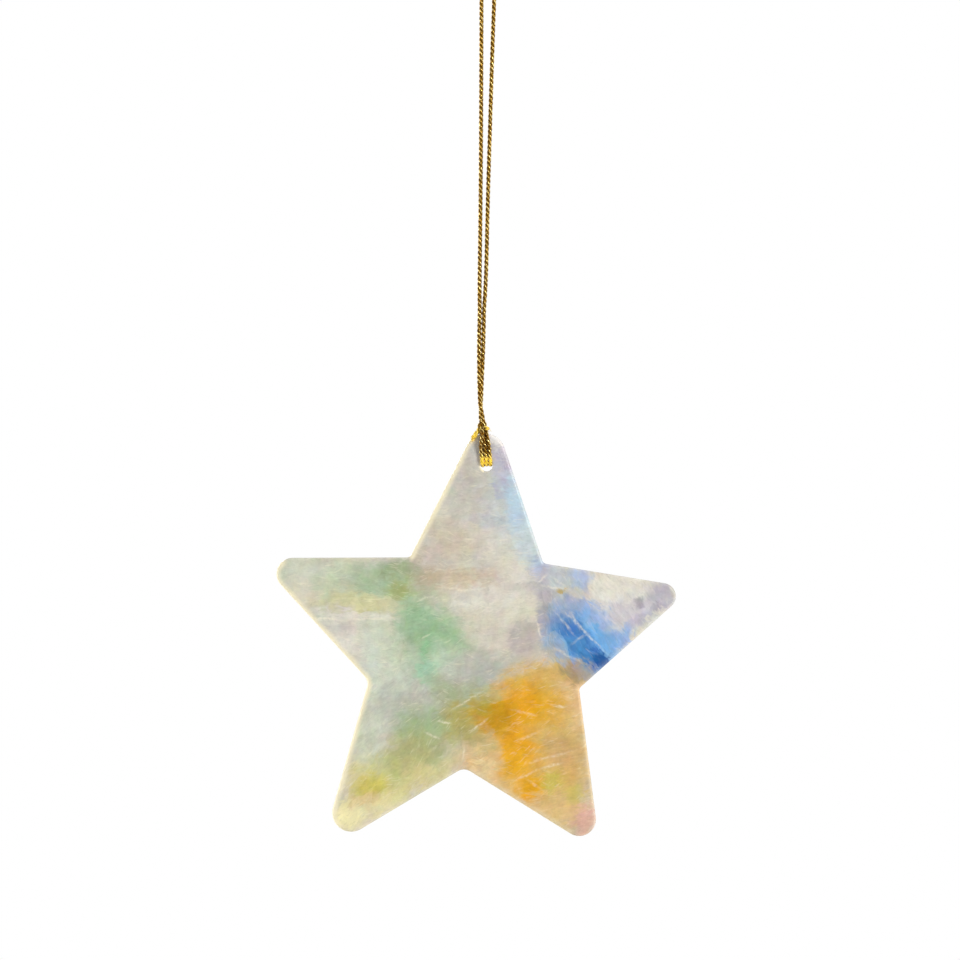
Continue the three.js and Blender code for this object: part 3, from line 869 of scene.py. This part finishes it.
# How places wander, by scale and reach: the dye as it was wet, the flakes' edges so that none is
# straight, the slivers as they bend, and the creases as they waver.
DYE_WANDERS = ((0.1, 4.0), (0.35, 2.6), (0.9, 1.0))
FLAKE_WANDERS = ((0.15, 3.0), (0.8, 0.35))
SLIVER_WANDERS = ((0.07, 4.0),)
CREASE_WANDERS = ((0.35, 1.2), (1.6, 0.35))
# The two sizes of flake: length, width and how far each carries the dye. Then how much a flake's own
# shade counts, and how strongly the whole mottle shows.
FLAKES = ((3.6, 1.7, 1.5), (1.4, 0.6, 0.9))
FLAKE_SHADE = 0.18
MOTTLE = 0.42
# The three ways pale slivers lie: swing from the grain in radians, a shift so that no two are
# alike, length, width and strength.
SLIVERS = (
    (0.0, (0.0, 0.0, 0.0), 2.2, 0.28, 1.0),
    (0.4, (31.0, 0.0, 17.0), 1.7, 0.24, 0.8),
    (-0.5, (63.0, 0.0, 41.0), 1.9, 0.22, 0.8),
)
# The faint dark runs: shift, length and width.
RUN_SHIFT = (71.0, 0.0, 29.0)
RUN_LONG, RUN_WIDE = 2.6, 0.22
# The rim tint is the bare sanded shell and the painted glow on the edges that face left.
TINTS = shades(
    run=(96, 92, 76), sliver=(255, 246, 218), seam=(140, 130, 108), crease=(255, 246, 222),
    rim=(255, 244, 208),
)


def dye_wash_group():
    """A soft-edged patch of dye: inside a turned ellipse its colour covers what is under it."""
    group, given, out = new_group("dye_wash", (
        ("Under", "Color"), ("Dye", "Color"), ("Place", "Vector"), ("Centre", "Vector"),
        ("Reach", "Vector"), ("Turn", "Float"), ("Strength", "Float"), ("Feather", "Float"),
    ), (("Color", "Color"),))
    away = from_ellipse(group, given["Place"], given["Centre"], given["Reach"], given["Turn"])
    low = math_node(group, "ADD", given["Feather"], 1.0)
    high = math_node(group, "SUBTRACT", 1.0, given["Feather"])
    cover = math_node(group, "MULTIPLY", ramp_value(group, away, low, high), given["Strength"])
    feed(group, out, {"Color": blend_colour(group, cover, given["Under"], given["Dye"])})
    return group


def dye_drift_group():
    """How wet dye strays from where it was laid: in slow clouds, then by whole flakes of shell."""
    group, given, out = new_group(
        "dye_drift", (("Place", "Vector"), ("Turn", "Float")), (("Place", "Vector"), ("Cloud", "Float"))
    )
    start = given["Place"]
    place = wandered(group, start, DYE_WANDERS)
    rough = wandered(group, start, FLAKE_WANDERS)
    for length, width, reach in FLAKES:
        place = strayed(group, place, flakes(group, rough, given["Turn"], length, width), reach)
    feed(group, out, {"Place": place, "Cloud": noise(group, start, 0.14, 3.0)[0]})
    return group


def pale_slivers(group, place, turn):
    """Pale slivers of shell that lie three ways and show in patches."""
    bent = wandered(group, place, SLIVER_WANDERS)
    slivers = 0.0
    for swing, shift, length, width, strength in SLIVERS:
        shifted = vector_node(group, "ADD", bent, shift)
        shade = flake_shade(group, shifted, math_node(group, "ADD", turn, swing), length, width)
        lines = ramp_value(group, shade, 0.88, 0.98, 0.0, strength)
        patch = ramp_value(group, noise(group, shifted, 0.2, 4.0)[0], 0.48, 0.64, 0.1, 0.8)
        slivers = math_node(group, "MAXIMUM", slivers, math_node(group, "MULTIPLY", lines, patch))
    return slivers


def shell_figure_group():
    """The figure of split shell over a dyed ground.

    Each flake is a little lighter or darker than the next. Pale slivers lie three ways and show in
    patches; between them are faint dark runs, a mottle, and the slow play of tints that nacre has.
    """
    group, given, out = new_group("shell_figure", (
        ("Under", "Color"), ("Place", "Vector"), ("Turn", "Float"), ("Slivers", "Float"),
        ("Mottle", "Float"),
    ), (("Color", "Color"), ("Roughness", "Float"), ("Height", "Float")))
    place, turn = given["Place"], given["Turn"]
    rough = wandered(group, place, FLAKE_WANDERS)
    slivers = pale_slivers(group, place, turn)
    cover = math_node(group, "MULTIPLY", slivers, given["Slivers"])
    mottle = noise(group, place, 0.28, 4.0, 0.55)[0]
    speck = noise(group, rough, 1.4, 3.0, 0.6)[0]
    uneven = math_node(group, "ADD", mottle, math_node(group, "MULTIPLY", speck, 0.6))
    for length, width, _ in FLAKES:
        shade = flake_shade(group, rough, turn, length, width)
        uneven = math_node(group, "ADD", uneven, math_node(group, "MULTIPLY", shade, FLAKE_SHADE))
    lift = math_node(group, "MULTIPLY", math_node(group, "SUBTRACT", uneven, 0.97), given["Mottle"])
    nacre = blend_colour(group, 0.5, noise(group, place, 0.12)[1], noise(group, place, 0.4)[1])
    tinted = blend_colour(group, 0.38, given["Under"], nacre, "SOFT_LIGHT")
    feeds = {0: tinted, "Scale": math_node(group, "ADD", lift, 1.0)}
    tone = put(group, "ShaderNodeVectorMath", feeds, operation="SCALE").outputs[0]
    shifted = vector_node(group, "ADD", rough, RUN_SHIFT)
    runs = noise(group, along_grain(group, shifted, turn, RUN_LONG, RUN_WIDE), 1.0, 1.0)[0]
    dark = blend_colour(group, 0.5, tone, TINTS["run"])
    tone = blend_colour(group, ramp_value(group, runs, 0.38, 0.3, 0.0, 0.3), tone, dark)
    pale = blend_colour(group, 0.5, TINTS["sliver"], tone)
    dull = ramp_value(group, mottle, 0.3, 0.7, 0.32, 0.5)
    feed(group, out, {
        "Color": blend_colour(group, cover, tone, pale),
        "Roughness": math_node(group, "SUBTRACT", dull, math_node(group, "MULTIPLY", cover, 0.1)),
        "Height": math_node(group, "ADD", slivers, uneven),
    })
    return group


DYES = shades(
    pearl=(222, 217, 204), linen=(211, 205, 187), mist=(194, 190, 181), fog=(176, 180, 166),
    sand=(202, 184, 162), lilac=(182, 181, 200), slate=(178, 175, 187), ash=(158, 154, 164),
    rosewood=(182, 174, 168), sky=(180, 206, 222), ice=(198, 211, 215), periwinkle=(152, 176, 222),
    azure=(100, 172, 228), cobalt=(48, 112, 182), navy=(2, 80, 150), ochre=(192, 158, 78),
    umber=(160, 144, 108), sage=(166, 188, 152), mint=(152, 186, 146), jade=(140, 186, 138),
    fern=(154, 168, 128), celadon=(206, 215, 195), reed=(196, 202, 174), olive=(166, 172, 112),
    moss=(172, 164, 92), citron=(200, 188, 80), straw=(214, 204, 142), cream=(238, 228, 176),
    honey=(212, 172, 84), saffron=(228, 164, 0), amber=(198, 146, 0), peach=(220, 184, 126),
    rose=(220, 172, 152), frost=(234, 230, 230), aqua=(148, 202, 166), mustard=(178, 152, 44),
    tan=(206, 168, 110),
)
# The washes from first to last, as they lie on the front. A wash is a dye, its middle from the
# star's centre, its half length and half width, its turn, and its strength.
WASHES = (
    # The top arm.
    ("mist", (0.0, 42.0), (11.0, 14.0), 0.0, 0.8),
    ("linen", (1.0, 30.0), (14.0, 6.0), 0.0, 0.6),
    ("slate", (3.0, 34.0), (5.5, 1.6), 0.0, 0.45),
    ("sand", (-8.0, 27.0), (6.0, 5.0), 0.0, 0.5),
    ("pearl", (6.0, 26.0), (5.0, 3.4), 0.0, 0.5),
    ("ice", (7.0, 36.0), (5.5, 9.0), 15.0, 0.45),
    ("sky", (8.6, 40.5), (2.6, 5.2), 22.0, 0.85),
    ("sky", (11.0, 34.0), (3.3, 5.2), 20.0, 0.9),
    ("ice", (13.6, 27.0), (3.6, 5.4), 20.0, 0.9),
    ("lilac", (5.4, 48.5), (2.6, 4.4), 14.0, 0.8),
    ("lilac", (5.2, 42.6), (1.4, 2.2), 20.0, 0.75),
    ("frost", (5.0, 55.5), (3.6, 3.6), 0.0, 0.9),
    ("sand", (-4.5, 18.8), (9.5, 2.0), 0.0, 0.95),
    ("umber", (-15.2, 19.5), (1.6, 5.0), 0.0, 0.4),
    # The left arm and the notch below it.
    ("reed", (-36.0, 16.0), (15.0, 8.0), -5.0, 0.85),
    ("celadon", (-46.0, 17.5), (5.0, 5.0), 0.0, 0.7),
    ("linen", (-44.0, 14.0), (6.0, 2.4), -40.0, 0.6),
    ("celadon", (-36.0, 19.5), (5.0, 2.6), 0.0, 0.5),
    ("sage", (-25.0, 18.0), (8.0, 4.0), 0.0, 0.95),
    ("fern", (-20.5, 20.5), (4.6, 2.4), 0.0, 0.8),
    ("olive", (-19.6, 15.2), (3.6, 2.2), 0.0, 0.9),
    ("straw", (-29.5, 11.8), (11.0, 2.4), -2.0, 0.5),
    ("pearl", (-34.0, 3.0), (7.0, 5.0), -40.0, 0.8),
    ("mist", (-33.5, 5.6), (5.0, 1.2), -4.0, 0.4),
    ("pearl", (-31.0, 8.6), (12.0, 1.0), -4.0, 0.85),
    ("celadon", (-24.0, 2.0), (5.5, 6.0), 0.0, 0.75),
    ("celadon", (-21.5, -8.0), (7.0, 8.0), 0.0, 0.85),
    # The middle.
    ("linen", (2.0, 8.0), (12.0, 9.0), 0.0, 0.7),
    ("pearl", (4.0, 14.0), (12.0, 3.4), 0.0, 0.7),
    ("mint", (-11.0, 0.5), (8.0, 10.0), 10.0, 0.6),
    ("pearl", (11.0, 20.0), (4.4, 3.0), 0.0, 0.7),
    ("fog", (0.0, -4.5), (8.0, 4.8), -10.0, 0.9),
    ("mint", (-15.2, 7.6), (5.0, 6.6), 5.0, 0.95),
    ("mint", (-9.0, 3.0), (5.2, 6.4), 10.0, 0.75),
    ("celadon", (-8.0, -3.5), (4.6, 4.4), 0.0, 0.5),
    ("jade", (-13.2, 1.0), (1.0, 3.4), 4.0, 0.7),
    ("aqua", (-12.2, -5.0), (2.8, 3.2), 0.0, 0.6),
    ("rosewood", (12.2, 4.0), (4.0, 4.4), 20.0, 0.85),
    # The lower left arm.
    ("fog", (-18.0, -14.5), (8.0, 6.0), 0.0, 0.7),
    ("fern", (-7.0, -10.5), (5.6, 3.4), -45.0, 0.6),
    ("sage", (-13.0, -19.5), (7.0, 4.6), 25.0, 0.7),
    ("reed", (-27.5, -23.0), (3.8, 8.0), -13.0, 0.85),
    ("straw", (-22.0, -31.0), (10.0, 5.0), 35.0, 0.7),
    ("fern", (-13.5, -20.0), (6.5, 4.6), 25.0, 0.6),
    ("olive", (-14.5, -26.5), (11.0, 6.0), 32.0, 0.8),
    ("straw", (-29.5, -34.0), (3.6, 7.0), -13.0, 0.7),
    ("moss", (-3.5, -17.0), (6.4, 4.2), 35.0, 0.95),
    ("moss", (0.0, -21.5), (4.0, 4.0), 20.0, 0.85),
    ("straw", (-21.0, -36.0), (11.0, 4.4), 32.0, 0.85),
    ("straw", (-11.0, -32.0), (11.0, 2.4), 30.0, 0.6),
    ("citron", (-26.3, -34.6), (4.0, 2.6), 10.0, 0.8),
    ("peach", (-27.5, -38.8), (3.4, 2.2), 10.0, 0.45),
    ("cream", (-32.0, -43.5), (4.2, 3.8), 0.0, 0.97),
    ("cream", (-22.4, -40.0), (4.4, 3.0), 22.0, 0.5),
    ("celadon", (-26.5, -22.0), (3.4, 6.4), -13.0, 0.5),
    ("sage", (-10.0, -19.5), (4.0, 2.8), 25.0, 0.5),
    # The right arm.
    ("linen", (30.0, 15.0), (8.0, 6.0), -5.0, 0.6),
    ("frost", (38.0, 13.0), (8.0, 6.0), 0.0, 0.7),
    ("slate", (39.0, 11.0), (6.0, 4.0), 20.0, 0.5),
    ("pearl", (33.5, 17.8), (6.0, 3.0), -5.0, 0.8),
    ("slate", (18.5, 18.0), (4.4, 5.4), 0.0, 0.7),
    ("periwinkle", (16.0, 22.8), (2.8, 2.2), 0.0, 0.5),
    ("ash", (18.0, 9.0), (2.2, 5.6), 8.0, 0.75),
    ("ice", (20.5, 19.5), (3.6, 3.2), 0.0, 0.5),
    ("periwinkle", (26.5, 18.8), (2.6, 3.2), 0.0, 0.7),
    ("periwinkle", (37.4, 4.6), (3.8, 2.0), 42.0, 0.85),
    ("periwinkle", (26.0, 11.0), (5.4, 2.4), -10.0, 0.8),
    ("tan", (26.0, -5.4), (5.4, 3.2), -35.0, 0.85),
    ("umber", (25.4, -4.8), (4.0, 2.2), -40.0, 0.95),
    ("azure", (28.8, 2.9), (10.0, 6.5), -38.0, 0.95),
    ("cobalt", (25.4, 4.8), (6.2, 3.2), -42.0, 0.85),
    ("azure", (22.4, 0.4), (4.4, 1.8), -36.0, 0.6),
    ("cobalt", (28.0, 0.2), (4.6, 2.6), -45.0, 0.85),
    ("navy", (32.0, -2.2), (2.8, 2.2), -45.0, 0.92),
    ("ash", (28.0, -4.7), (5.0, 1.6), -35.0, 0.85),
    ("ash", (41.6, 14.0), (1.0, 1.8), 0.0, 0.8),
    ("slate", (47.0, 15.0), (3.6, 3.0), 0.0, 0.85),
    ("ash", (46.0, 12.0), (3.0, 0.8), 38.0, 0.6),
    ("ochre", (21.0, 15.8), (1.8, 1.0), -5.0, 0.75),
    # The lower right arm.
    ("peach", (11.0, -35.0), (15.0, 4.8), -32.0, 0.9),
    ("honey", (20.0, -25.0), (9.0, 18.0), 18.0, 0.9),
    ("honey", (21.0, -14.5), (6.0, 5.0), 6.0, 0.7),
    ("peach", (25.5, -12.0), (3.4, 6.0), 6.0, 0.8),
    ("tan", (23.0, -24.0), (6.0, 4.2), 10.0, 0.8),
    ("honey", (15.5, -6.6), (9.6, 4.0), 14.0, 0.9),
    ("saffron", (11.5, -14.0), (9.6, 5.6), 8.0, 0.97),
    ("saffron", (10.6, -25.0), (5.4, 9.0), 10.0, 0.97),
    ("amber", (5.4, -16.8), (4.8, 4.4), 10.0, 0.97),
    ("mustard", (1.6, -14.4), (2.6, 3.2), 10.0, 0.8),
    ("peach", (3.4, -25.0), (3.0, 4.4), 10.0, 0.55),
    ("saffron", (15.0, -34.6), (4.2, 3.2), 15.0, 0.95),
    ("peach", (2.5, -29.0), (4.2, 3.6), 0.0, 0.8),
    ("peach", (23.0, -39.5), (5.0, 4.0), 0.0, 0.75),
    ("citron", (20.4, -33.2), (2.8, 2.2), 10.0, 0.65),
    ("citron", (26.2, -36.0), (2.4, 2.6), 0.0, 0.5),
    ("rose", (29.0, -42.8), (3.2, 3.4), 0.0, 0.85),
    # Small touches over the others.
    ("umber", (24.6, -4.6), (3.4, 1.7), -40.0, 0.7),
    ("umber", (28.6, -4.0), (3.4, 1.4), -38.0, 0.4),
    ("umber", (-12.0, 18.4), (3.0, 2.4), 0.0, 0.3),
    ("moss", (2.6, -11.4), (4.0, 2.4), 35.0, 0.55),
    ("moss", (3.7, -23.6), (2.4, 2.6), 0.0, 0.3),
    ("fern", (-3.5, -10.8), (5.5, 2.6), 30.0, 0.55),
    ("olive", (-10.6, 14.6), (4.0, 2.4), 0.0, 0.3),
    ("olive", (-17.2, -31.3), (4.5, 2.4), 30.0, 0.4),
    ("cream", (2.8, -29.9), (2.6, 2.0), 0.0, 0.4),
    ("ash", (23.6, 11.8), (3.4, 2.0), -10.0, 0.45),
    ("ash", (20.4, 0.6), (2.6, 2.2), -40.0, 0.5),
    ("slate", (21.4, 19.8), (3.0, 2.0), 0.0, 0.5),
    ("lilac", (42.4, 9.4), (3.4, 1.2), 40.0, 0.6),
    ("periwinkle", (32.3, 9.4), (3.0, 2.0), -40.0, 0.6),
    ("azure", (26.5, 2.4), (2.4, 1.4), -42.0, 0.35),
)
# How softly a wash ends, as a share of its size.
WASH_FEATHER = 0.6

# The creases that pressing left in the shell: middle, half length, turn and strength.
CREASES = (
    ((12.8, -15.3), 3.5, -11.0, 0.25),
    ((21.8, -13.5), 1.9, -13.0, 0.46),
    ((13.9, -21.4), 2.8, 22.0, 0.28),
    ((19.4, -26.7), 6.2, 17.0, 0.28),
    ((13.6, -31.4), 3.4, 28.0, 0.31),
    ((19.9, -28.9), 2.6, 15.0, 0.46),
    ((15.7, -33.7), 2.0, -35.0, 0.25),
    ((-2.2, -12.8), 4.4, 33.0, 0.34),
    ((-7.6, -18.3), 1.6, -10.0, 0.5),
    ((1.3, -18.9), 3.0, 38.0, 0.4),
    ((-2.5, -26.4), 1.4, 85.0, 0.37),
    ((-10.5, -21.9), 2.1, -22.0, 0.37),
    ((28.0, 5.7), 6.8, -44.0, 0.46),
    ((23.1, 7.2), 3.2, -48.0, 0.37),
    ((25.5, 8.3), 2.3, -57.0, 0.43),
    ((26.6, 3.8), 2.1, 35.0, 0.31),
    ((23.5, -0.5), 3.9, -28.0, 0.34),
    ((16.2, 5.8), 2.8, -73.0, 0.43),
    ((19.8, 16.8), 3.6, -6.0, 0.37),
    ((16.7, 18.8), 1.7, 48.0, 0.37),
    ((20.8, 18.5), 2.4, -32.0, 0.31),
    ((-38.5, 7.6), 4.3, -4.0, 0.5),
    ((-27.2, 7.9), 7.0, 3.0, 0.37),
    ((-45.3, 16.8), 2.0, -18.0, 0.31),
    ((-13.2, 13.4), 2.2, 20.0, 0.37),
    ((-4.0, 15.8), 6.0, -4.0, 0.34),
)
CREASE_HALF = 0.34


def crease_group():
    """Creases in the shell: thin soft-ended lines that waver and are broken along their length."""
    group, given, out = new_group("pressed_creases", (("Place", "Vector"),), (("Mask", "Float"),))
    start = given["Place"]
    place = wandered(group, start, CREASE_WANDERS)
    mask = 0.0
    for (x, z), half_long, turn, strength in CREASES:
        reach = (half_long, 1.0, CREASE_HALF)
        away = from_ellipse(group, place, (x, 0.0, z), reach, math.radians(turn))
        mask = math_node(group, "MAXIMUM", mask, ramp_value(group, away, 1.6, 0.1, 0.0, strength))
    broken = ramp_value(group, noise(group, start, 1.1)[0], 0.35, 0.6, 0.3, 1.0)
    feed(group, out, {"Mask": math_node(group, "MULTIPLY", mask, broken)})
    return group


def washes_group(wash):
    """All the washes of dye, laid one over another on a pale ground."""
    group, given, out = new_group(
        "dye_washes", (("Place", "Vector"), ("Cloud", "Float")), (("Color", "Color"),)
    )
    clouded = ramp_value(group, given["Cloud"], 0.35, 0.65)
    shade = blend_colour(group, clouded, DYES["linen"], DYES["mist"])
    for dye, (x, z), (half_long, half_wide), turn, strength in WASHES:
        shade = place_group(group, wash, {
            "Under": shade, "Dye": DYES[dye], "Place": given["Place"], "Centre": (x, 0.0, z),
            "Reach": (half_long, 1.0, half_wide), "Turn": math.radians(turn),
            "Strength": strength, "Feather": WASH_FEATHER,
        })["Color"]
    feed(group, out, {"Color": shade})
    return group


DYE_DRIFT = dye_drift_group()
SHELL_FIGURE = shell_figure_group()
DYE_WASHES = washes_group(dye_wash_group())
PRESSED_CREASES = crease_group()
# The star's centre in metres, which the finishes are laid out from.
STAR_MIDDLE = on_plate(np.zeros(2), 0.0) * MM


def shell_finish(name, face, grain, slivers):
    """Lacquered shell: washes of dye, the shell's figure, faint seams and a bare sanded rim, with a
    painted glow on the rim where the edge faces left.

    The back carries the same dyes and creases as the front, the other way round.
    """
    made, tree, shader = new_material(name)
    at = put(tree, "ShaderNodeTexCoord").outputs["Object"]
    from_middle = vector_node(tree, "SUBTRACT", at, STAR_MIDDLE.tolist())
    place = vector_node(tree, "MULTIPLY", from_middle, (1 / MM, 0.0, 1 / MM))
    turn = math.radians(grain)
    way_round = (-face, 1.0, 1.0)
    drift = place_group(tree, DYE_DRIFT, {"Place": place, "Turn": turn})
    laid = vector_node(tree, "MULTIPLY", drift["Place"], way_round)
    shade = place_group(tree, DYE_WASHES, {"Place": laid, "Cloud": drift["Cloud"]})["Color"]
    figure = place_group(tree, SHELL_FIGURE, {
        "Under": shade, "Place": place, "Turn": turn, "Slivers": slivers, "Mottle": MOTTLE,
    })
    edge, hole, seam, left = point_values(tree, "from_edge", "from_hole", "from_seam", "faces_left")
    wander = math_node(tree, "MULTIPLY", math_node(tree, "SUBTRACT", drift["Cloud"], 0.5), 1.2)
    near_seam = ramp_value(tree, math_node(tree, "ADD", seam, wander), 0.3, 0.02, 0.0, 0.07)
    tone = blend_colour(tree, near_seam, figure["Color"], TINTS["seam"])
    pressed = vector_node(tree, "MULTIPLY", place, way_round)
    creased = place_group(tree, PRESSED_CREASES, {"Place": pressed})["Mask"]
    tone = blend_colour(tree, creased, tone, TINTS["crease"])
    # The rim: bare sanded shell all round, and a painted glow, as of light through the edge, strong where
    # the edge faces left and faint elsewhere.
    nearest = math_node(tree, "MINIMUM", edge, math_node(tree, "MULTIPLY", hole, 2.5))
    bare_rim_and_glow = ramp_value(tree, math_node(tree, "ADD", nearest, wander), 1.7, 0.1)
    rim = math_node(tree, "MULTIPLY", bare_rim_and_glow, ramp_value(tree, left, 0.0, 1.0, 0.06, 0.95))
    relief = {"Strength": 0.12, "Distance": 0.06 * MM, "Height": figure["Height"]}
    feed(tree, shader, {
        "Base Color": blend_colour(tree, rim, tone, TINTS["rim"]),
        "Roughness": figure["Roughness"],
        "Normal": put(tree, "ShaderNodeBump", relief).outputs[0],
        "Specular IOR Level": 0.32,
        "Coat Weight": 0.12,
        "Coat Roughness": 0.15,
    })
    return made


# The way the grain lies in each piece, and how much its pale slivers show.
FRONT_FIGURES = {
    "top": (4.0, 0.6), "right": (-50.0, 0.4), "lower_right": (17.0, 0.5),
    "lower_left": (40.0, 0.55), "left": (3.0, 0.6), "middle": (12.0, 0.6),
}
BACK_FIGURES = {
    "top": (-30.0, 0.5), "right": (15.0, 0.5), "lower_right": (60.0, 0.5),
    "lower_left": (-20.0, 0.5), "left": (35.0, 0.5),
}
# Where the top pieces' cores end below the hole, and how far out the other back cores are.
FRONT_CORE_END = (0.0, 27.0)
BACK_CORE_END = (0.0, 19.0)
BACK_CORE_OUT = 17.0


def lay_shell(side, face, arm, loop, core, seams, figure):
    """One shell piece on the star, in place of its solid. The top pieces have the hole."""
    made = shell_skin(loop, core, face, arm == "top", seams)
    piece = make_piece(f"{side}_{arm}", [made], shell_finish(f"{arm}_{side}_shell", face, *figure))
    sharpen(piece, made["sharp"])
    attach(piece, "star")
    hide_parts(f"{side}_shell_{arm}")


def lay_shells():
    """All the shell pieces of both faces. A core is a point in the piece, or a line from the hole."""
    loops, seams = front_loops()
    for arm, loop in loops.items():
        core = (HOLE_AT, FRONT_CORE_END) if arm == "top" else (loop.mean(0),) * 2
        lay_shell("front", -1.0, arm, loop, core, seams, FRONT_FIGURES[arm])
    loops, seams = back_loops()
    for arm, tip in zip(ARMS, TIPS):
        core = (HOLE_AT, BACK_CORE_END) if arm == "top" else (unit(tip) * BACK_CORE_OUT,) * 2
        lay_shell("back", 1.0, arm, loops[arm], core, seams, BACK_FIGURES[arm])


lay_shells()


def bond_finish():
    """The clear film between the shells, which shows as a fine amber line round the star's edge."""
    made, tree, shader = new_material("bond_film")
    cloud = noise(tree, put(tree, "ShaderNodeTexCoord").outputs["Object"], 900.0, 3.0)[0]
    amber, pale = colour(226, 212, 168), colour(244, 236, 204)
    feed(tree, shader, {
        "Base Color": blend_colour(tree, ramp_value(tree, cloud, 0.35, 0.65), amber, pale),
        "Roughness": ramp_value(tree, cloud, 0.3, 0.7, 0.2, 0.4),
    })
    return made


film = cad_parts["bond_film"].data
film.materials.clear()
film.materials.append(bond_finish())


def pale_floor():
    """A round of pale floor below the star: a disc with a soft matt grain."""
    reach, low, corners = 1300.0, -430.0, 128
    turn = np.arange(corners) * (2 * np.pi / corners)
    points = np.stack((reach * np.cos(turn), reach * np.sin(turn), np.full(corners, low)), -1)
    made, tree, shader = new_material("pale_floor")
    grain = noise(tree, put(tree, "ShaderNodeTexCoord").outputs["Object"], 60.0, 3.0)[0]
    tone = blend_colour(tree, grain, colour(238, 237, 235), colour(246, 245, 243))
    feed(tree, shader, {"Base Color": tone, "Roughness": 0.8})
    mesh = bpy.data.meshes.new("pale_floor")
    mesh.from_pydata((points * MM).tolist(), [], [tuple(range(corners))])
    mesh.materials.append(made)
    floor = bpy.data.objects.new("pale_floor", mesh)
    bpy.context.scene.collection.objects.link(floor)


# The soft boxes: place, size and power. All are aimed at one point on the star.
SOFT_BOXES = {
    "right_box": ((1280.0, -1240.0, 565.0), 520.0, 25.9),
    "left_box": ((-1520.0, -840.0, 45.0), 840.0, 3.2),
    "left_edge_box": ((-1480.0, 260.0, -115.0), 640.0, 13.0),
    "right_edge_box": ((1480.0, 260.0, -115.0), 640.0, 5.0),
    "high_edge_box": ((60.0, 200.0, 1005.0), 640.0, 4.0),
    "back_box": ((-840.0, 1640.0, 485.0), 640.0, 13.0),
}
BOXES_AIM = np.array((0.0, 0.0, -165.0))


def soft_light(name, place, size, power):
    """A square soft box at a place, aimed at the star."""
    data = bpy.data.lights.new(name, "AREA")
    data.shape = "SQUARE"
    data.size = size * MM
    data.energy = power
    lamp = bpy.data.objects.new(name, data)
    away = unit(np.array(place) - BOXES_AIM)
    side = unit(np.cross((0.0, 0.0, 1.0), away))
    matrix = np.eye(4)
    matrix[:3, :3] = np.stack((side, np.cross(away, side), away), 1)
    matrix[:3, 3] = np.array(place) * MM
    lamp.matrix_world = Matrix(matrix.tolist())
    bpy.context.scene.collection.objects.link(lamp)


def studio():
    """White surroundings for the camera, dimmer for the light they throw, and six soft boxes."""
    world = bpy.data.worlds.new("studio")
    world.use_nodes = True
    tree = world.node_tree
    tree.nodes.clear()
    dim = put(tree, "ShaderNodeBackground", {"Color": (1.0, 0.99, 0.97, 1.0), "Strength": 0.27})
    white = put(tree, "ShaderNodeBackground", {"Color": (1.0, 1.0, 1.0, 1.0), "Strength": 1.0})
    seen = put(tree, "ShaderNodeLightPath").outputs["Is Camera Ray"]
    both = put(tree, "ShaderNodeMixShader", {0: seen, 1: dim.outputs[0], 2: white.outputs[0]})
    put(tree, "ShaderNodeOutputWorld", {"Surface": both.outputs[0]})
    bpy.context.scene.world = world
    for name, (place, size, power) in SOFT_BOXES.items():
        soft_light(name, place, size, power)


pale_floor()
studio()
bpy.context.scene.view_settings.view_transform = "Standard"
